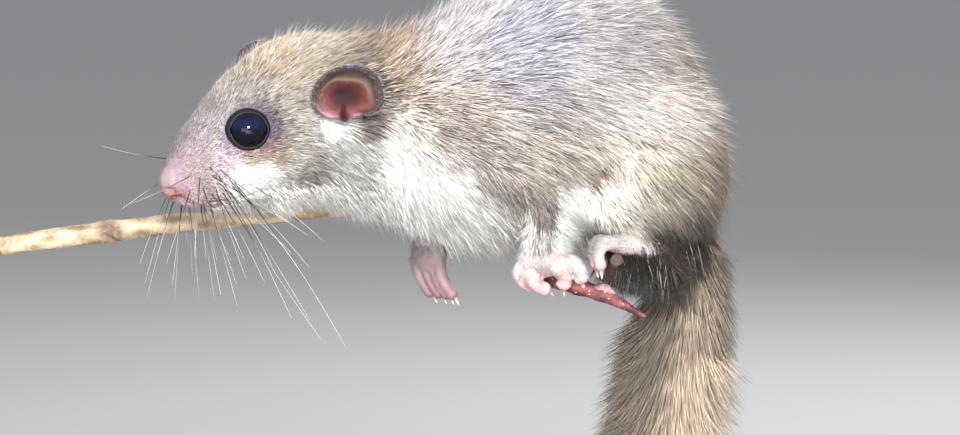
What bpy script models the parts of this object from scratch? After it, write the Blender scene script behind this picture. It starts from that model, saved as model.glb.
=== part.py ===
"""Edible dormouse (Glis glis), a still, life-size museum model on a cut length of branch.

Blender 4.5, metres, +Z up. The animal looks along -X and a little towards -Y, and its left
side is towards -Y. The origin is the centre of the display base's underside.

Sizes and places below are millimetres. Places on the animal are in a frame whose origin is
the middle of the trunk, and the function to_metres moves them above the base. The surfaces
of the animal are the tips of its coat, so the solids have the outline of the furred animal.
"""

import math
import random

import bmesh
import bpy
import numpy as np
from mathutils import Matrix, Vector

# Driving dimensions, in millimetres
GAP = 0.3
BASE_LENGTH, BASE_WIDTH, BASE_HEIGHT = 132.0, 92.0, 10.0
BASE_CORNER, BASE_EDGE = 16.0, 1.6
BASE_CENTRE = Vector((12.0, 3.0, -146.0))
ROD_RADIUS = 2.4
ROD_PLACE = (46.6, 25.7)
COLLAR_RADIUS, COLLAR_HEIGHT = 6.0, 5.0

# The head, from the tip of the nose backwards
NOSE_TIP = Vector((-66.0, -21.5, 0.0))
HEAD_YAW = math.radians(31.0)
HEAD_TILT = 0.08
FORWARD = Vector((-math.cos(HEAD_YAW), -math.sin(HEAD_YAW), 0.0))
LEFTWARD = Vector((math.sin(HEAD_YAW), -math.cos(HEAD_YAW), -HEAD_TILT)).normalized()
UPWARD = Vector((0.0, 0.0, 1.0))
HEAD_UP = FORWARD.cross(LEFTWARD)

# Each section: distance behind the nose tip, top, bottom, half width, height of the widest
# line as a share of the section, and roundness (2 is an ellipse)
HEAD_SECTIONS = [
    (0.9, 12.3, 6.9, 2.3, 0.45, 2.0),
    (2.9, 15.2, 5.4, 4.3, 0.42, 2.1),
    (6.8, 21.1, 4.4, 6.5, 0.38, 2.1),
    (10.7, 25.4, 3.3, 8.4, 0.38, 2.1),
    (15.0, 30.2, 2.7, 10.4, 0.38, 2.1),
    (19.0, 33.2, 2.2, 12.2, 0.38, 2.1),
    (23.7, 36.4, 2.4, 13.8, 0.40, 2.1),
    (28.5, 38.5, 3.6, 14.9, 0.42, 2.1),
    (33.5, 39.5, 4.1, 15.6, 0.44, 2.1),
    (39.5, 39.5, 2.4, 16.2, 0.46, 2.1),
    (45.3, 39.5, 0.2, 16.8, 0.47, 2.1),
]
# The neck and trunk: x and y of the middle, yaw in degrees, then top, bottom and the rest
NECK_SECTIONS = [
    (-26.9, 2.0, 31.0, 39.5, 0.0, 16.9, 0.47, 2.1),
    (-23.4, 2.0, 22.0, 39.7, -0.5, 17.2, 0.47, 2.1),
    (-20.0, 1.4, 12.0, 40.2, -1.4, 17.7, 0.47, 2.1),
    (-16.8, 0.5, 4.0, 41.2, -2.6, 18.4, 0.48, 2.1),
]
TRUNK_SECTIONS = [
    (-16.4, 0.4, 3.4, 41.4, -2.8, 18.5, 0.48, 2.1),
    (-11.0, 0.0, 0.0, 43.8, -4.6, 19.8, 0.48, 2.1),
    (-4.0, 0.0, 0.0, 46.8, -6.2, 21.2, 0.48, 2.1),
    (5.0, 0.0, 0.0, 50.0, -6.8, 22.8, 0.47, 2.1),
    (15.0, 0.0, 0.0, 52.3, -7.4, 23.6, 0.46, 2.1),
    (25.0, 0.0, 0.0, 52.0, -8.4, 22.6, 0.45, 2.1),
    (34.0, 0.0, 0.0, 48.6, -9.4, 20.4, 0.44, 2.1),
    (41.0, 0.0, 0.0, 41.6, -9.6, 17.4, 0.44, 2.1),
    (46.5, 0.0, 0.0, 32.4, -7.2, 13.2, 0.44, 2.0),
    (50.2, 0.0, 0.0, 23.4, -1.0, 8.0, 0.45, 2.0),
    (51.8, 0.0, 0.0, 15.6, 6.8, 2.6, 0.50, 2.0),
]
BODY_SIDES = 24

# Eyes, ears and nose, measured from the nose tip: behind, sideways, height
EYE_PLACE = (16.4, 7.7, 20.4)
EYE_RADIUS = 4.1
LID_RADIUS, LID_THICKNESS = 4.35, 0.75
EAR_PLACE_LEFT, EAR_PLACE_RIGHT = (34.9, 17.6, 27.6), (33.4, 18.4, 28.0)
EAR_TURN_LEFT, EAR_TURN_RIGHT = math.radians(32.0), math.radians(14.0)
EAR_LEAN = math.radians(8.0)
EAR_SIZE = (3.3, 6.9, 6.7)
EAR_HOLLOW_SIZE, EAR_HOLLOW_OFFSET = (5.4, 6.5, 6.3), 3.7
EAR_ROOT_SIZE = (4.2, 3.6, 4.4)
NOSE_PAD_PLACE, NOSE_PAD_SIZE = (2.1, 0.0, 9.2), (2.8, 3.1, 3.7)
NOSTRIL_PLACE, NOSTRIL_SIZE = (0.9, 2.0, 7.6), (1.6, 0.6, 0.9)
PHILTRUM_SIZE = (3.0, 0.16, 2.3)
MUZZLE_PAD_PLACE, MUZZLE_PAD_SIZE = (8.2, 4.2, 7.8), (5.0, 3.2, 3.5)

# The mouth line on the left side, from the front of the lips to the corner: behind the nose
# tip, sideways, height
MOUTH_LINE = [
    (3.5, 0.0, 5.9),
    (4.6, 2.4, 5.5),
    (7.4, 5.7, 5.3),
    (11.4, 6.7, 5.8),
    (15.6, 8.6, 7.0),
    (18.2, 9.9, 8.0),
]
LIP_RADIUS = 0.85

# Legs: each joint is x, y, z and the radius of the furred limb there
ARM_UPPER_LEFT = [(-3.0, -13.0, 17.0, 8.0), (6.0, -17.5, 12.0, 7.4), (14.5, -18.6, 7.6, 6.2)]
FOREARM_LEFT = [(15.4, -18.6, 6.6, 6.0), (13.8, -18.8, 1.0, 5.3), (12.0, -18.6, -4.6, 4.4)]
ARM_UPPER_RIGHT = [(-8.0, 12.0, 15.0, 7.4), (-2.0, 16.5, 8.0, 6.8), (2.0, 16.6, 1.6, 5.4)]
FOREARM_RIGHT = [(2.0, 16.4, 0.6, 4.8), (-5.0, 15.0, -2.4, 4.4), (-11.2, 13.4, -6.4, 3.3)]
THIGH_CENTRE, THIGH_SIZE = Vector((37.2, -13.2, 12.4)), (14.8, 13.0, 20.4)
SHANK_LEFT = [(24.6, -19.5, 5.6, 5.2), (32.0, -20.0, -0.6, 4.8), (39.6, -19.6, -6.2, 3.6)]
SHANK_RIGHT = [(24.6, 20.5, 11.0, 5.2), (32.0, 21.5, 10.4, 4.8), (40.0, 22.6, 12.2, 3.6)]
FOOT_LEFT = [(41.4, -19.8, -7.0, 2.7), (35.5, -20.6, -4.8, 2.6), (30.6, -21.4, -3.2, 2.9)]
FOOT_RIGHT = [(41.0, 23.2, 12.2, 2.7), (35.0, 24.8, 10.6, 2.5), (29.0, 25.6, 10.0, 2.8)]
LIMB_SIDES = 11
DIGIT_SIDES = 6
CLAW_LENGTH, CLAW_RADIUS = 1.7, 0.5

# The tail hangs from the rump: x, y, z, radius of the core and reach of the lock tips
TAIL_AXIS = [
    (44.0, -1.0, -2.0, 6.0, 7.4),
    (44.8, -1.4, -14.0, 5.6, 9.0),
    (43.2, -1.5, -28.0, 6.0, 12.6),
    (40.6, -1.0, -46.0, 6.6, 15.2),
    (38.6, 0.0, -64.0, 6.8, 15.8),
    (38.6, 1.0, -82.0, 6.4, 15.6),
    (40.6, 2.0, -98.0, 5.4, 13.6),
    (43.6, 2.8, -111.0, 3.6, 9.4),
    (45.4, 3.2, -118.0, 1.4, 5.4),
]
TAIL_ROWS, LOCKS_A_ROW = 10, 6
TAIL_BREAK_ROWS = [3.8, 6.8]
LOCK_ROOT_SHARE, LOCK_BEND = 0.55, 0.28
LOCK_LENGTH, LOCK_HALF_WIDTH, LOCK_HALF_THICKNESS = 24.0, 5.2, 1.3
TAIL_DEPTH_SHARE = 0.78
TAIL_LOWEST = -134.0
TAIL_SEED = 7

# The perch: x, y, z and radius along the bark
BRANCH = [
    (-106.0, 27.0, -8.6, 2.1),
    (-88.0, 26.6, -6.2, 2.3),
    (-60.0, 26.2, -2.8, 2.2),
    (-30.0, 25.8, 0.4, 2.3),
    (0.0, 25.6, 3.4, 2.4),
    (25.0, 25.6, 5.8, 2.3),
    (52.0, 25.6, 8.0, 2.2),
]
SPUR = [
    (7.0, 25.6, 4.4, 1.7),
    (9.4, 15.0, -7.4, 1.7),
    (11.0, 2.0, -11.4, 1.6),
    (12.6, -12.0, -11.4, 1.6),
    (16.4, -16.4, -11.7, 1.9),
    (19.6, -18.2, -12.5, 1.6),
    (27.0, -20.6, -15.0, 1.1),
    (34.2, -22.4, -18.6, 0.35),
]
SPUR_BUD = ((25.8, -20.2, -13.7), (2.0, 1.1, 1.0))
SIDE_TWIG = [
    (22.0, 25.6, 5.4, 1.6),
    (24.0, 15.0, -7.6, 1.6),
    (26.6, 0.0, -12.0, 1.5),
    (28.0, -12.0, -10.4, 1.5),
    (28.2, -20.0, -7.6, 1.4),
    (28.0, -25.6, -6.6, 1.3),
]
TWIG_SIDES = 9


# Collections and materials
def new_collection(name):
    collection = bpy.data.collections.new(name)
    bpy.context.scene.collection.children.link(collection)
    return collection


def new_material(name, colour, roughness, metallic=0.0):
    material = bpy.data.materials.new(name)
    material.use_nodes = True
    shader = material.node_tree.nodes["Principled BSDF"]
    shader.inputs["Base Color"].default_value = (*colour, 1.0)
    shader.inputs["Roughness"].default_value = roughness
    shader.inputs["Metallic"].default_value = metallic
    return material


# Places
def to_metres(point):
    """A place in the animal's frame, in millimetres, as a place above the base in metres."""
    return (Vector(point) - BASE_CENTRE) / 1000.0


def on_head(behind, sideways, height):
    """A place measured from the nose tip, sideways being towards the animal's left."""
    return NOSE_TIP - FORWARD * behind + LEFTWARD * sideways + UPWARD * height


# Shapes
def new_object(name, mesh, material, collection):
    obj = bpy.data.objects.new(name, mesh)
    collection.objects.link(obj)
    obj.data.materials.append(material)
    if collection is not parts:
        obj.hide_render = True
        obj.display_type = "WIRE"
    else:
        mesh.shade_smooth()
        mesh.set_sharp_from_angle(angle=math.radians(50.0))
    return obj


def smooth_rows(rows, steps):
    """Rows between the given ones, on a Catmull-Rom curve through them."""
    rows = np.asarray(rows, float)
    padded = np.vstack([2 * rows[0] - rows[1], rows, 2 * rows[-1] - rows[-2]])
    result = []
    for i in range(len(rows) - 1):
        a, b, c, d = padded[i : i + 4]
        for k in range(steps):
            t = k / steps
            curve = b + 0.5 * t * (c - a + t * (2 * a - 5 * b + 4 * c - d + t * (3 * (b - c) + d - a)))
            result.append(curve)
    result.append(rows[-1])
    return np.array(result)


def loft_mesh(name, rings):
    """A closed surface over rings of equal size, with a flat cap at each end."""
    sides = len(rings[0])
    points = [to_metres(point) for ring in rings for point in ring]
    faces = [tuple(reversed(range(sides)))]
    for i in range(len(rings) - 1):
        for k in range(sides):
            after = (k + 1) % sides
            faces.append((i * sides + k, i * sides + after, (i + 1) * sides + after, (i + 1) * sides + k))
    faces.append(tuple(range((len(rings) - 1) * sides, len(rings) * sides)))
    mesh = bpy.data.meshes.new(name)
    mesh.from_pydata(points, [], faces)
    face_outwards(mesh)
    return mesh


def face_outwards(mesh):
    shape = bmesh.new()
    shape.from_mesh(mesh)
    bmesh.ops.recalc_face_normals(shape, faces=shape.faces)
    shape.to_mesh(mesh)
    shape.free()


def body_ring(x, y, yaw, top, bottom, half_width, widest, roundness, grow=0.0):
    """One upright section of the head, neck or trunk, tilted where it turns with the head."""
    middle = bottom + widest * (top - bottom)
    side = Vector((math.sin(yaw), -math.cos(yaw), -HEAD_TILT * yaw / HEAD_YAW))
    ring = []
    for k in range(BODY_SIDES):
        angle = 2 * math.pi * (k + 0.5) / BODY_SIDES
        across, up = math.cos(angle), math.sin(angle)
        across = math.copysign(abs(across) ** (2 / roundness), across) * (half_width + grow)
        reach = (top - middle if up > 0 else middle - bottom) + grow
        up = math.copysign(abs(up) ** (2 / roundness), up) * reach
        ring.append(Vector((x, y, middle)) + side * across + UPWARD * up)
    return ring


def head_rings(grow=0.0):
    rings = []
    for behind, *section in smooth_rows(HEAD_SECTIONS, 2):
        centre = on_head(behind, 0.0, 0.0)
        rings.append(body_ring(centre.x, centre.y, HEAD_YAW, *section, grow))
    return rings


def spine_rings(sections, grow=0.0):
    rings = []
    for x, y, yaw, *section in smooth_rows(sections, 2):
        rings.append(body_ring(x, y, math.radians(yaw), *section, grow))
    return rings


def tube_rings(joints, sides, grow=0.0, steps=2):
    """Round sections along a smooth path, square to it."""
    rows = smooth_rows(joints, steps)
    places = [Vector(row[:3]) for row in rows]
    rings = []
    across = None
    for i, place in enumerate(places):
        along = (places[min(i + 1, len(places) - 1)] - places[max(i - 1, 0)]).normalized()
        if across is None:
            across = along.orthogonal()
        across = (across - along * across.dot(along)).normalized()
        other = along.cross(across)
        radius = rows[i][3] + grow
        ends = 0.0
        if i == 0:
            ends = -grow
        elif i == len(places) - 1:
            ends = grow
        ring = []
        for k in range(sides):
            angle = 2 * math.pi * k / sides
            ring.append(place + along * ends + (across * math.cos(angle) + other * math.sin(angle)) * radius)
        rings.append(ring)
    return rings


def limb_rings(joints, grow=0.0):
    """A limb with rounded ends: its first and last sections close in."""
    rows = [tuple(row) for row in smooth_rows(joints, 3)]
    start = round_end(joints[0], joints[1])
    ending = round_end(joints[-1], joints[-2])
    return tube_rings([*reversed(start), *rows, *ending], LIMB_SIDES, grow, steps=1)


def round_end(last, before):
    """Two smaller sections beyond the last joint of a limb."""
    direction = (Vector(last[:3]) - Vector(before[:3])).normalized()
    radius = last[3]
    return [(*(Vector(last[:3]) + direction * radius * share), radius * size) for share, size in ((0.3, 0.8), (0.55, 0.45))]


def ball_mesh(name, centre, size, axes=None, columns=20, rows=12, grow=0.0):
    """An ellipsoid from a UV sphere, turned to the given axes."""
    shape = bmesh.new()
    bmesh.ops.create_uvsphere(shape, u_segments=columns, v_segments=rows, radius=1.0)
    stretch = Matrix.Diagonal([half + grow for half in size])
    turn = axes or Matrix.Identity(3)
    for vertex in shape.verts:
        vertex.co = to_metres(Vector(centre) + turn @ (stretch @ vertex.co))
    mesh = bpy.data.meshes.new(name)
    shape.to_mesh(mesh)
    shape.free()
    face_outwards(mesh)
    return mesh


# Cutting and joining
def cut(target, cutter, operation="DIFFERENCE"):
    modifier = target.modifiers.new(f"{operation.lower()} {cutter.name}", "BOOLEAN")
    modifier.operation = operation
    modifier.object = cutter
    modifier.solver = "EXACT"
    modifier.use_self = operation == "UNION"
    return modifier


def settle(obj):
    """Applies the modifiers and keeps the largest closed surface, without specks."""
    bpy.context.view_layer.update()
    graph = bpy.context.evaluated_depsgraph_get()
    mesh = bpy.data.meshes.new_from_object(obj.evaluated_get(graph))
    shape = bmesh.new()
    shape.from_mesh(mesh)
    bmesh.ops.triangulate(shape, faces=shape.faces)
    keep_largest(shape)
    shape.to_mesh(mesh)
    shape.free()
    obj.modifiers.clear()
    obj.data = mesh
    mesh.shade_smooth()
    mesh.set_sharp_from_angle(angle=math.radians(50.0))
    return obj


def keep_largest(shape):
    shape.faces.index_update()
    unseen = set(shape.faces)
    pieces = []
    while unseen:
        piece = {unseen.pop()}
        waiting = list(piece)
        while waiting:
            face = waiting.pop()
            for edge in face.edges:
                for other in edge.link_faces:
                    if other in unseen:
                        unseen.discard(other)
                        piece.add(other)
                        waiting.append(other)
        pieces.append(piece)
    pieces.sort(key=lambda piece: -sum(face.calc_area() for face in piece))
    for piece in pieces[1:]:
        bmesh.ops.delete(shape, geom=list(piece), context="FACES")
    loose = [vertex for vertex in shape.verts if not vertex.link_faces]
    bmesh.ops.delete(shape, geom=loose, context="VERTS")


def part(name, mesh, material):
    return new_object(name, mesh, material, parts)


def cutter(name, mesh):
    return new_object(name, mesh, materials["bark"], cutters)


# The sub-parts
def make_head():
    """Head with eye sockets and lids, muzzle pads and upper lip, and the jaw below the mouth line."""
    head = part("head", loft_mesh("head", head_rings()), materials["fur"])
    jaw = part("jaw", loft_mesh("jaw", head_rings(-0.15)), materials["fur_pale"])
    for side, name in ((1, "left"), (-1, "right")):
        behind, sideways, height = MUZZLE_PAD_PLACE
        place = on_head(behind, side * sideways, height)
        pad = cutter(f"muzzle_pad_{name}", ball_mesh("pad", place, MUZZLE_PAD_SIZE, head_axes(), 14, 8))
        cut(head, pad, "UNION")
        lid_place = on_head(EYE_PLACE[0], side * (EYE_PLACE[1] + 1.9), EYE_PLACE[2])
        lids = cutter(f"lids_{name}", lids_mesh("lids", lid_place, eye_axes(side)))
        cut(head, lids, "UNION")
    lips = cutter("lips", loft_mesh("lips", lip_rings()))
    cut(head, lips, "UNION")
    cut(jaw, lips, "UNION")
    for grow, target in ((0.0, jaw), (GAP, head)):
        region = cutter(f"mouth_region_{target.name}", mouth_region(grow))
        cut(target, region, "INTERSECT" if target is jaw else "DIFFERENCE")
    for side, name in ((1, "left"), (-1, "right")):
        place = on_head(EYE_PLACE[0], side * EYE_PLACE[1], EYE_PLACE[2])
        socket = cutter(f"socket_{name}", ball_mesh("socket", place, [EYE_RADIUS] * 3, None, 14, 9, GAP))
        cut(head, socket)
    pad_place = on_head(*NOSE_PAD_PLACE)
    pad_room = cutter("nose_pad_room", ball_mesh("pad_room", pad_place, NOSE_PAD_SIZE, head_axes(), 14, 9, GAP))
    cut(head, pad_room)
    cut(jaw, pad_room)
    settle(head)
    settle(jaw)


def head_axes():
    """Axes along the head: forward, left, up."""
    return Matrix((FORWARD, LEFTWARD, HEAD_UP)).transposed()


def eye_axes(side):
    outward = (LEFTWARD * side * 0.93 + FORWARD * 0.28 + HEAD_UP * 0.16).normalized()
    along = HEAD_UP.cross(outward).normalized()
    return Matrix((along, outward.cross(along), outward)).transposed()


def lids_mesh(name, centre, axes):
    """The lids: a ring round the eye, a little lower than it is long."""
    around, across = 14, 5
    points = []
    for i in range(around):
        turn = 2 * math.pi * i / around
        for k in range(across):
            angle = 2 * math.pi * k / across
            reach = LID_RADIUS + LID_THICKNESS * math.cos(angle)
            place = Vector((reach * math.cos(turn), reach * 0.94 * math.sin(turn), LID_THICKNESS * math.sin(angle)))
            points.append(to_metres(Vector(centre) + axes @ place))
    faces = []
    for i in range(around):
        for k in range(across):
            a, b = i * across, (i + 1) % around * across
            after = (k + 1) % across
            faces.append((a + k, a + after, b + after, b + k))
    mesh = bpy.data.meshes.new(name)
    mesh.from_pydata(points, [], faces)
    face_outwards(mesh)
    return mesh


def lip_rings():
    """One soft rim along the mouth, from its right corner round the front to the left one."""
    left = [(*on_head(*place), LIP_RADIUS) for place in MOUTH_LINE]
    right = [(*on_head(behind, -sideways, height), LIP_RADIUS) for behind, sideways, height in MOUTH_LINE[1:]]
    return tube_rings([*reversed(right), *left], 6, steps=2)


def mouth_region(grow):
    """Everything below the mouth line, from the front of the chin back to the corner."""
    half, depth = 16.0, 12.0
    line = [(row[0], row[2]) for row in smooth_rows(MOUTH_LINE, 2)]
    corner, corner_height = line[-1]
    stations = [(line[0][0] - 6.0, line[0][1] - 0.2), *line]
    stations += [(corner + 0.2 + grow, corner_height), (corner + 2.4 + grow, -1.0)]
    rings = []
    for behind, height in stations:
        top = height + grow
        rings.append([on_head(behind, half, top), on_head(behind, -half, top),
                      on_head(behind, -half, -depth), on_head(behind, half, -depth)])
    return loft_mesh("mouth_region", rings)


def make_nose():
    """Nose pad with its two nostrils and the groove between them."""
    place = on_head(*NOSE_PAD_PLACE)
    nose = part("nose_pad", ball_mesh("nose_pad", place, NOSE_PAD_SIZE, head_axes(), 14, 9), materials["skin"])
    for side, name in ((1, "left"), (-1, "right")):
        behind, sideways, height = NOSTRIL_PLACE
        centre = on_head(behind, side * sideways, height)
        turn = head_axes() @ Matrix.Rotation(-side * math.radians(38.0), 3, "Z")
        cut(nose, cutter(f"nostril_{name}", ball_mesh("nostril", centre, NOSTRIL_SIZE, turn, 10, 6)))
    groove = on_head(-1.0, 0.0, NOSE_PAD_PLACE[2] - 1.4)
    cut(nose, cutter("philtrum", ball_mesh("philtrum", groove, PHILTRUM_SIZE, head_axes(), 10, 6)))
    settle(nose)


def make_eyes():
    for side, name in ((1, "left"), (-1, "right")):
        place = on_head(EYE_PLACE[0], side * EYE_PLACE[1], EYE_PLACE[2])
        part(f"eye_{name}", ball_mesh("eye", place, [EYE_RADIUS] * 3, None, 14, 9), materials["eye"])


def make_ears():
    """Each ear is a thin cup on a short root, open forwards and outwards."""
    ears = ((1, "left", EAR_PLACE_LEFT, EAR_TURN_LEFT), (-1, "right", EAR_PLACE_RIGHT, EAR_TURN_RIGHT))
    for side, name, ear_place, turn in ears:
        axes = ear_axes(side, turn)
        behind, sideways, height = ear_place
        place = on_head(behind, side * sideways, height)
        ear = part(f"ear_{name}", ball_mesh("ear", place, EAR_SIZE, axes, 16, 8), materials["ear"])
        root_place = place - axes.col[0] * 2.6 - UPWARD * 2.6
        root = cutter(f"ear_root_{name}", ball_mesh("ear_root", root_place, EAR_ROOT_SIZE, axes, 10, 6))
        cut(ear, root, "UNION")
        hollow_place = place + axes.col[0] * EAR_HOLLOW_OFFSET
        hollow = ball_mesh("ear_hollow", hollow_place, EAR_HOLLOW_SIZE, axes, 16, 8)
        cut(ear, cutter(f"ear_hollow_{name}", hollow))
        cut(ear, cutter(f"head_room_ear_{name}", loft_mesh("head_room", head_rings(GAP))))
        settle(ear)


def ear_axes(side, turn):
    outward = LEFTWARD * side * math.cos(turn) + FORWARD * math.sin(turn)
    outward = (outward * math.cos(EAR_LEAN) + HEAD_UP * math.sin(EAR_LEAN)).normalized()
    along = HEAD_UP.cross(outward).normalized()
    return Matrix((outward, along, outward.cross(along))).transposed()


def make_trunk():
    part("neck", loft_mesh("neck", spine_rings(NECK_SECTIONS)), materials["fur"])
    part("torso", loft_mesh("torso", spine_rings(TRUNK_SECTIONS)), materials["fur"])


def trunk_room(name):
    return cutter(f"trunk_room_{name}", loft_mesh("trunk_room", spine_rings(TRUNK_SECTIONS, GAP)))


def tube_part(name, joints, sides, material):
    return part(name, loft_mesh(name, tube_rings(joints, sides)), material)


def limb_part(name, joints, material):
    return part(name, loft_mesh(name, limb_rings(joints)), material)


def tube_room(name, joints):
    return cutter(name, loft_mesh(name, tube_rings(joints, TWIG_SIDES, GAP)))


def limb_room(name, joints):
    return cutter(name, loft_mesh(name, limb_rings(joints, GAP)))


def thigh_mesh(side, grow=0.0):
    centre = (THIGH_CENTRE.x, THIGH_CENTRE.y * side, THIGH_CENTRE.z)
    return ball_mesh("thigh", centre, THIGH_SIZE, None, 20, 12, grow)


def make_arms():
    arms = (("left", ARM_UPPER_LEFT, FOREARM_LEFT), ("right", ARM_UPPER_RIGHT, FOREARM_RIGHT))
    for name, upper, lower in arms:
        arm = limb_part(f"arm_upper_{name}", upper, materials["fur"])
        cut(arm, trunk_room(f"arm_{name}"))
        settle(arm)
        forearm = limb_part(f"forearm_{name}", lower, materials["fur_pale"])
        cut(forearm, trunk_room(f"forearm_{name}"))
        cut(forearm, limb_room(f"arm_room_{name}", upper))
        settle(forearm)


def make_legs():
    legs = (("left", 1, SHANK_LEFT), ("right", -1, SHANK_RIGHT))
    for name, side, lower in legs:
        thigh = part(f"thigh_{name}", thigh_mesh(side), materials["fur"])
        cut(thigh, trunk_room(f"thigh_{name}"))
        cut(thigh, tube_room(f"branch_room_thigh_{name}", BRANCH))
        settle(thigh)
        shank = limb_part(f"shank_{name}", lower, materials["fur_pale"])
        cut(shank, trunk_room(f"shank_{name}"))
        cut(shank, cutter(f"thigh_room_{name}", thigh_mesh(side, GAP)))
        cut(shank, tube_room(f"branch_room_shank_{name}", BRANCH))
        settle(shank)


def digit_rings(path, radius):
    """A finger or toe: joints along the path, a round pad at the end and a claw."""
    places = [Vector(point) for point in path]
    joints = [(*places[0], radius), (*places[1], radius * 0.95), (*places[2], radius * 0.9)]
    joints.append((*places[3], radius))
    end = (places[3] - places[2]).normalized()
    claw = places[3] + end * radius
    joints.append((*claw, CLAW_RADIUS))
    joints.append((*(claw + (end + Vector((0.0, 0.0, -0.5))).normalized() * CLAW_LENGTH), 0.16))
    return tube_rings(joints, DIGIT_SIDES, steps=1)


def make_hand(name, wrist, palm, palm_size, palm_axes, digits, radius, rooms):
    """A palm with its digits joined to it, cut clear of the wrist and of what it grips."""
    hand = part(name, ball_mesh(name, palm, palm_size, palm_axes, 12, 8), materials["skin"])
    joined = []
    if wrist:
        joined.append(loft_mesh("wrist", limb_rings(wrist)))
    for digit in digits:
        joined.append(loft_mesh("digit", digit_rings(digit, radius)))
    for i, mesh in enumerate(joined):
        cut(hand, cutter(f"{name}_piece_{i}", mesh), "UNION")
    for room in rooms:
        cut(hand, room)
    settle(hand)


def hand_axes(along, up):
    """Axes of a palm: x along the digits, z out of its back."""
    along, up = Vector(along).normalized(), Vector(up).normalized()
    across = up.cross(along).normalized()
    return Matrix((along, across, along.cross(across))).transposed()


def make_hands_and_feet():
    left_fingers = [
        [(9.8, -18.4, -7.4), (8.0, -18.9, -9.6), (8.2, -17.8, -11.8), (9.8, -16.6, -13.0)],
        [(11.4, -19.6, -7.8), (10.6, -20.8, -10.6), (11.4, -19.8, -12.8), (13.2, -18.4, -13.8)],
        [(14.2, -19.8, -7.6), (16.2, -21.4, -9.0), (17.6, -21.4, -11.0), (17.6, -20.6, -13.0)],
        [(15.4, -18.6, -6.8), (18.4, -20.0, -7.6), (20.5, -20.8, -9.2), (20.9, -20.6, -11.4)],
    ]
    make_hand("hand_left", None, (12.8, -18.2, -7.8), (4.6, 3.4, 3.2), None, left_fingers, 1.4,
              [tube_room("spur_room_hand", SPUR), limb_room("forearm_room_left", FOREARM_LEFT)])
    right_fingers = []
    spread_way = Vector((-0.75, 0.66, 0.0)).normalized()
    for i in range(4):
        across = spread_way * (i - 1.5) * 2.2
        spread = 1.0 + 0.15 * (i - 1.5)
        path = [Vector((-10.8, 13.0, -9.8)), Vector((-10.4, 12.8, -13.2)),
                Vector((-9.4, 12.4, -16.0)), Vector((-8.0, 12.0, -18.0))]
        right_fingers.append([point + across * spread for point in path])
    make_hand("hand_right", None, (-11.0, 13.2, -9.2), (4.6, 4.4, 2.4), hand_axes((0.1, 0, -1), (-0.66, -0.75, 0)),
              right_fingers, 1.3, [limb_room("forearm_room_right", FOREARM_RIGHT)])
    left_toes = []
    for i in range(5):
        side = (i - 2.0) * 1.7
        reach = 1.6 - abs(i - 1.6) * 0.7
        left_toes.append([(29.6, -21.0 + side * 0.7, -3.4), (26.6 - reach, -21.0 + side, -3.4),
                          (24.8 - reach, -20.8 + side * 1.1, -5.4), (25.2 - reach, -20.6 + side * 1.1, -8.0)])
    make_hand("foot_left", FOOT_LEFT, (30.4, -21.2, -3.4), (4.4, 4.0, 2.5), None, left_toes, 1.2,
              [tube_room("twig_room_foot", SIDE_TWIG), limb_room("shank_room_left", SHANK_LEFT),
               cutter("thigh_room_foot_left", thigh_mesh(1, GAP)), trunk_room("foot_left")])
    right_toes = []
    for i in range(5):
        side = (i - 2.0) * 1.7
        reach = 1.6 - abs(i - 2.4) * 0.7
        drop = abs(i - 2.0) * 0.9
        right_toes.append([(28.4, 25.6 + side * 0.7, 9.8), (24.4 - reach, 25.6 + side, 9.6 - drop * 0.4),
                           (22.0 - reach, 25.6 + side * 1.25, 8.8 - drop),
                           (19.8 - reach, 25.6 + side * 1.3, 7.4 - drop)])
    make_hand("foot_right", FOOT_RIGHT, (28.6, 25.6, 9.8), (4.4, 4.0, 2.5), None, right_toes, 1.2,
              [tube_room("branch_room_foot", BRANCH), limb_room("shank_room_right", SHANK_RIGHT),
               cutter("thigh_room_foot_right", thigh_mesh(-1, GAP)), trunk_room("foot_right")])


def tail_at(rows, share):
    """The tail's row (place, core radius, reach) at the given share of its length."""
    position = share * (len(rows) - 1)
    low = min(int(position), len(rows) - 2)
    return rows[low] + (rows[low + 1] - rows[low]) * (position - low)


def tail_frame(row):
    """Place, core radius, reach and axes of the tail at a row of locks."""
    rows = smooth_rows(TAIL_AXIS, 4)
    share = row / TAIL_ROWS * 0.97
    here = tail_at(rows, share)
    ahead = tail_at(rows, min(share + 0.03, 1.0))
    along = Vector(ahead[:3] - here[:3]).normalized()
    sideways = (Vector((1.0, 0.0, 0.0)) - along * along.x).normalized()
    return Vector(here[:3]), here[3], here[4], along, sideways, along.cross(sideways)


def lock_lift(share):
    """How far out a lock has risen at a share of its length: steep at the root, flat at the tip."""
    return (share - LOCK_BEND * share * share) / (1.0 - LOCK_BEND)


def lock_length(reach):
    return LOCK_LENGTH * (0.62 + 0.38 * min(1.0, reach / 14.0))


def lock_rings(root, outward, along, length, rise, scale):
    """One flat lock of hair: it leaves the core, lies over the next lock and ends in a point."""
    across = along.cross(outward).normalized()
    rings = []
    for share, width, thickness in ((0.0, 0.7, 0.9), (0.4, 1.0, 1.0), (0.76, 0.74, 0.66), (1.0, 0.1, 0.18)):
        centre = root + along * length * share + outward * rise * lock_lift(share)
        half_width = LOCK_HALF_WIDTH * width * scale
        half_thickness = LOCK_HALF_THICKNESS * thickness
        rings.append([centre + across * half_width, centre + outward * half_thickness,
                      centre - across * half_width, centre - outward * half_thickness])
    return rings


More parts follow.
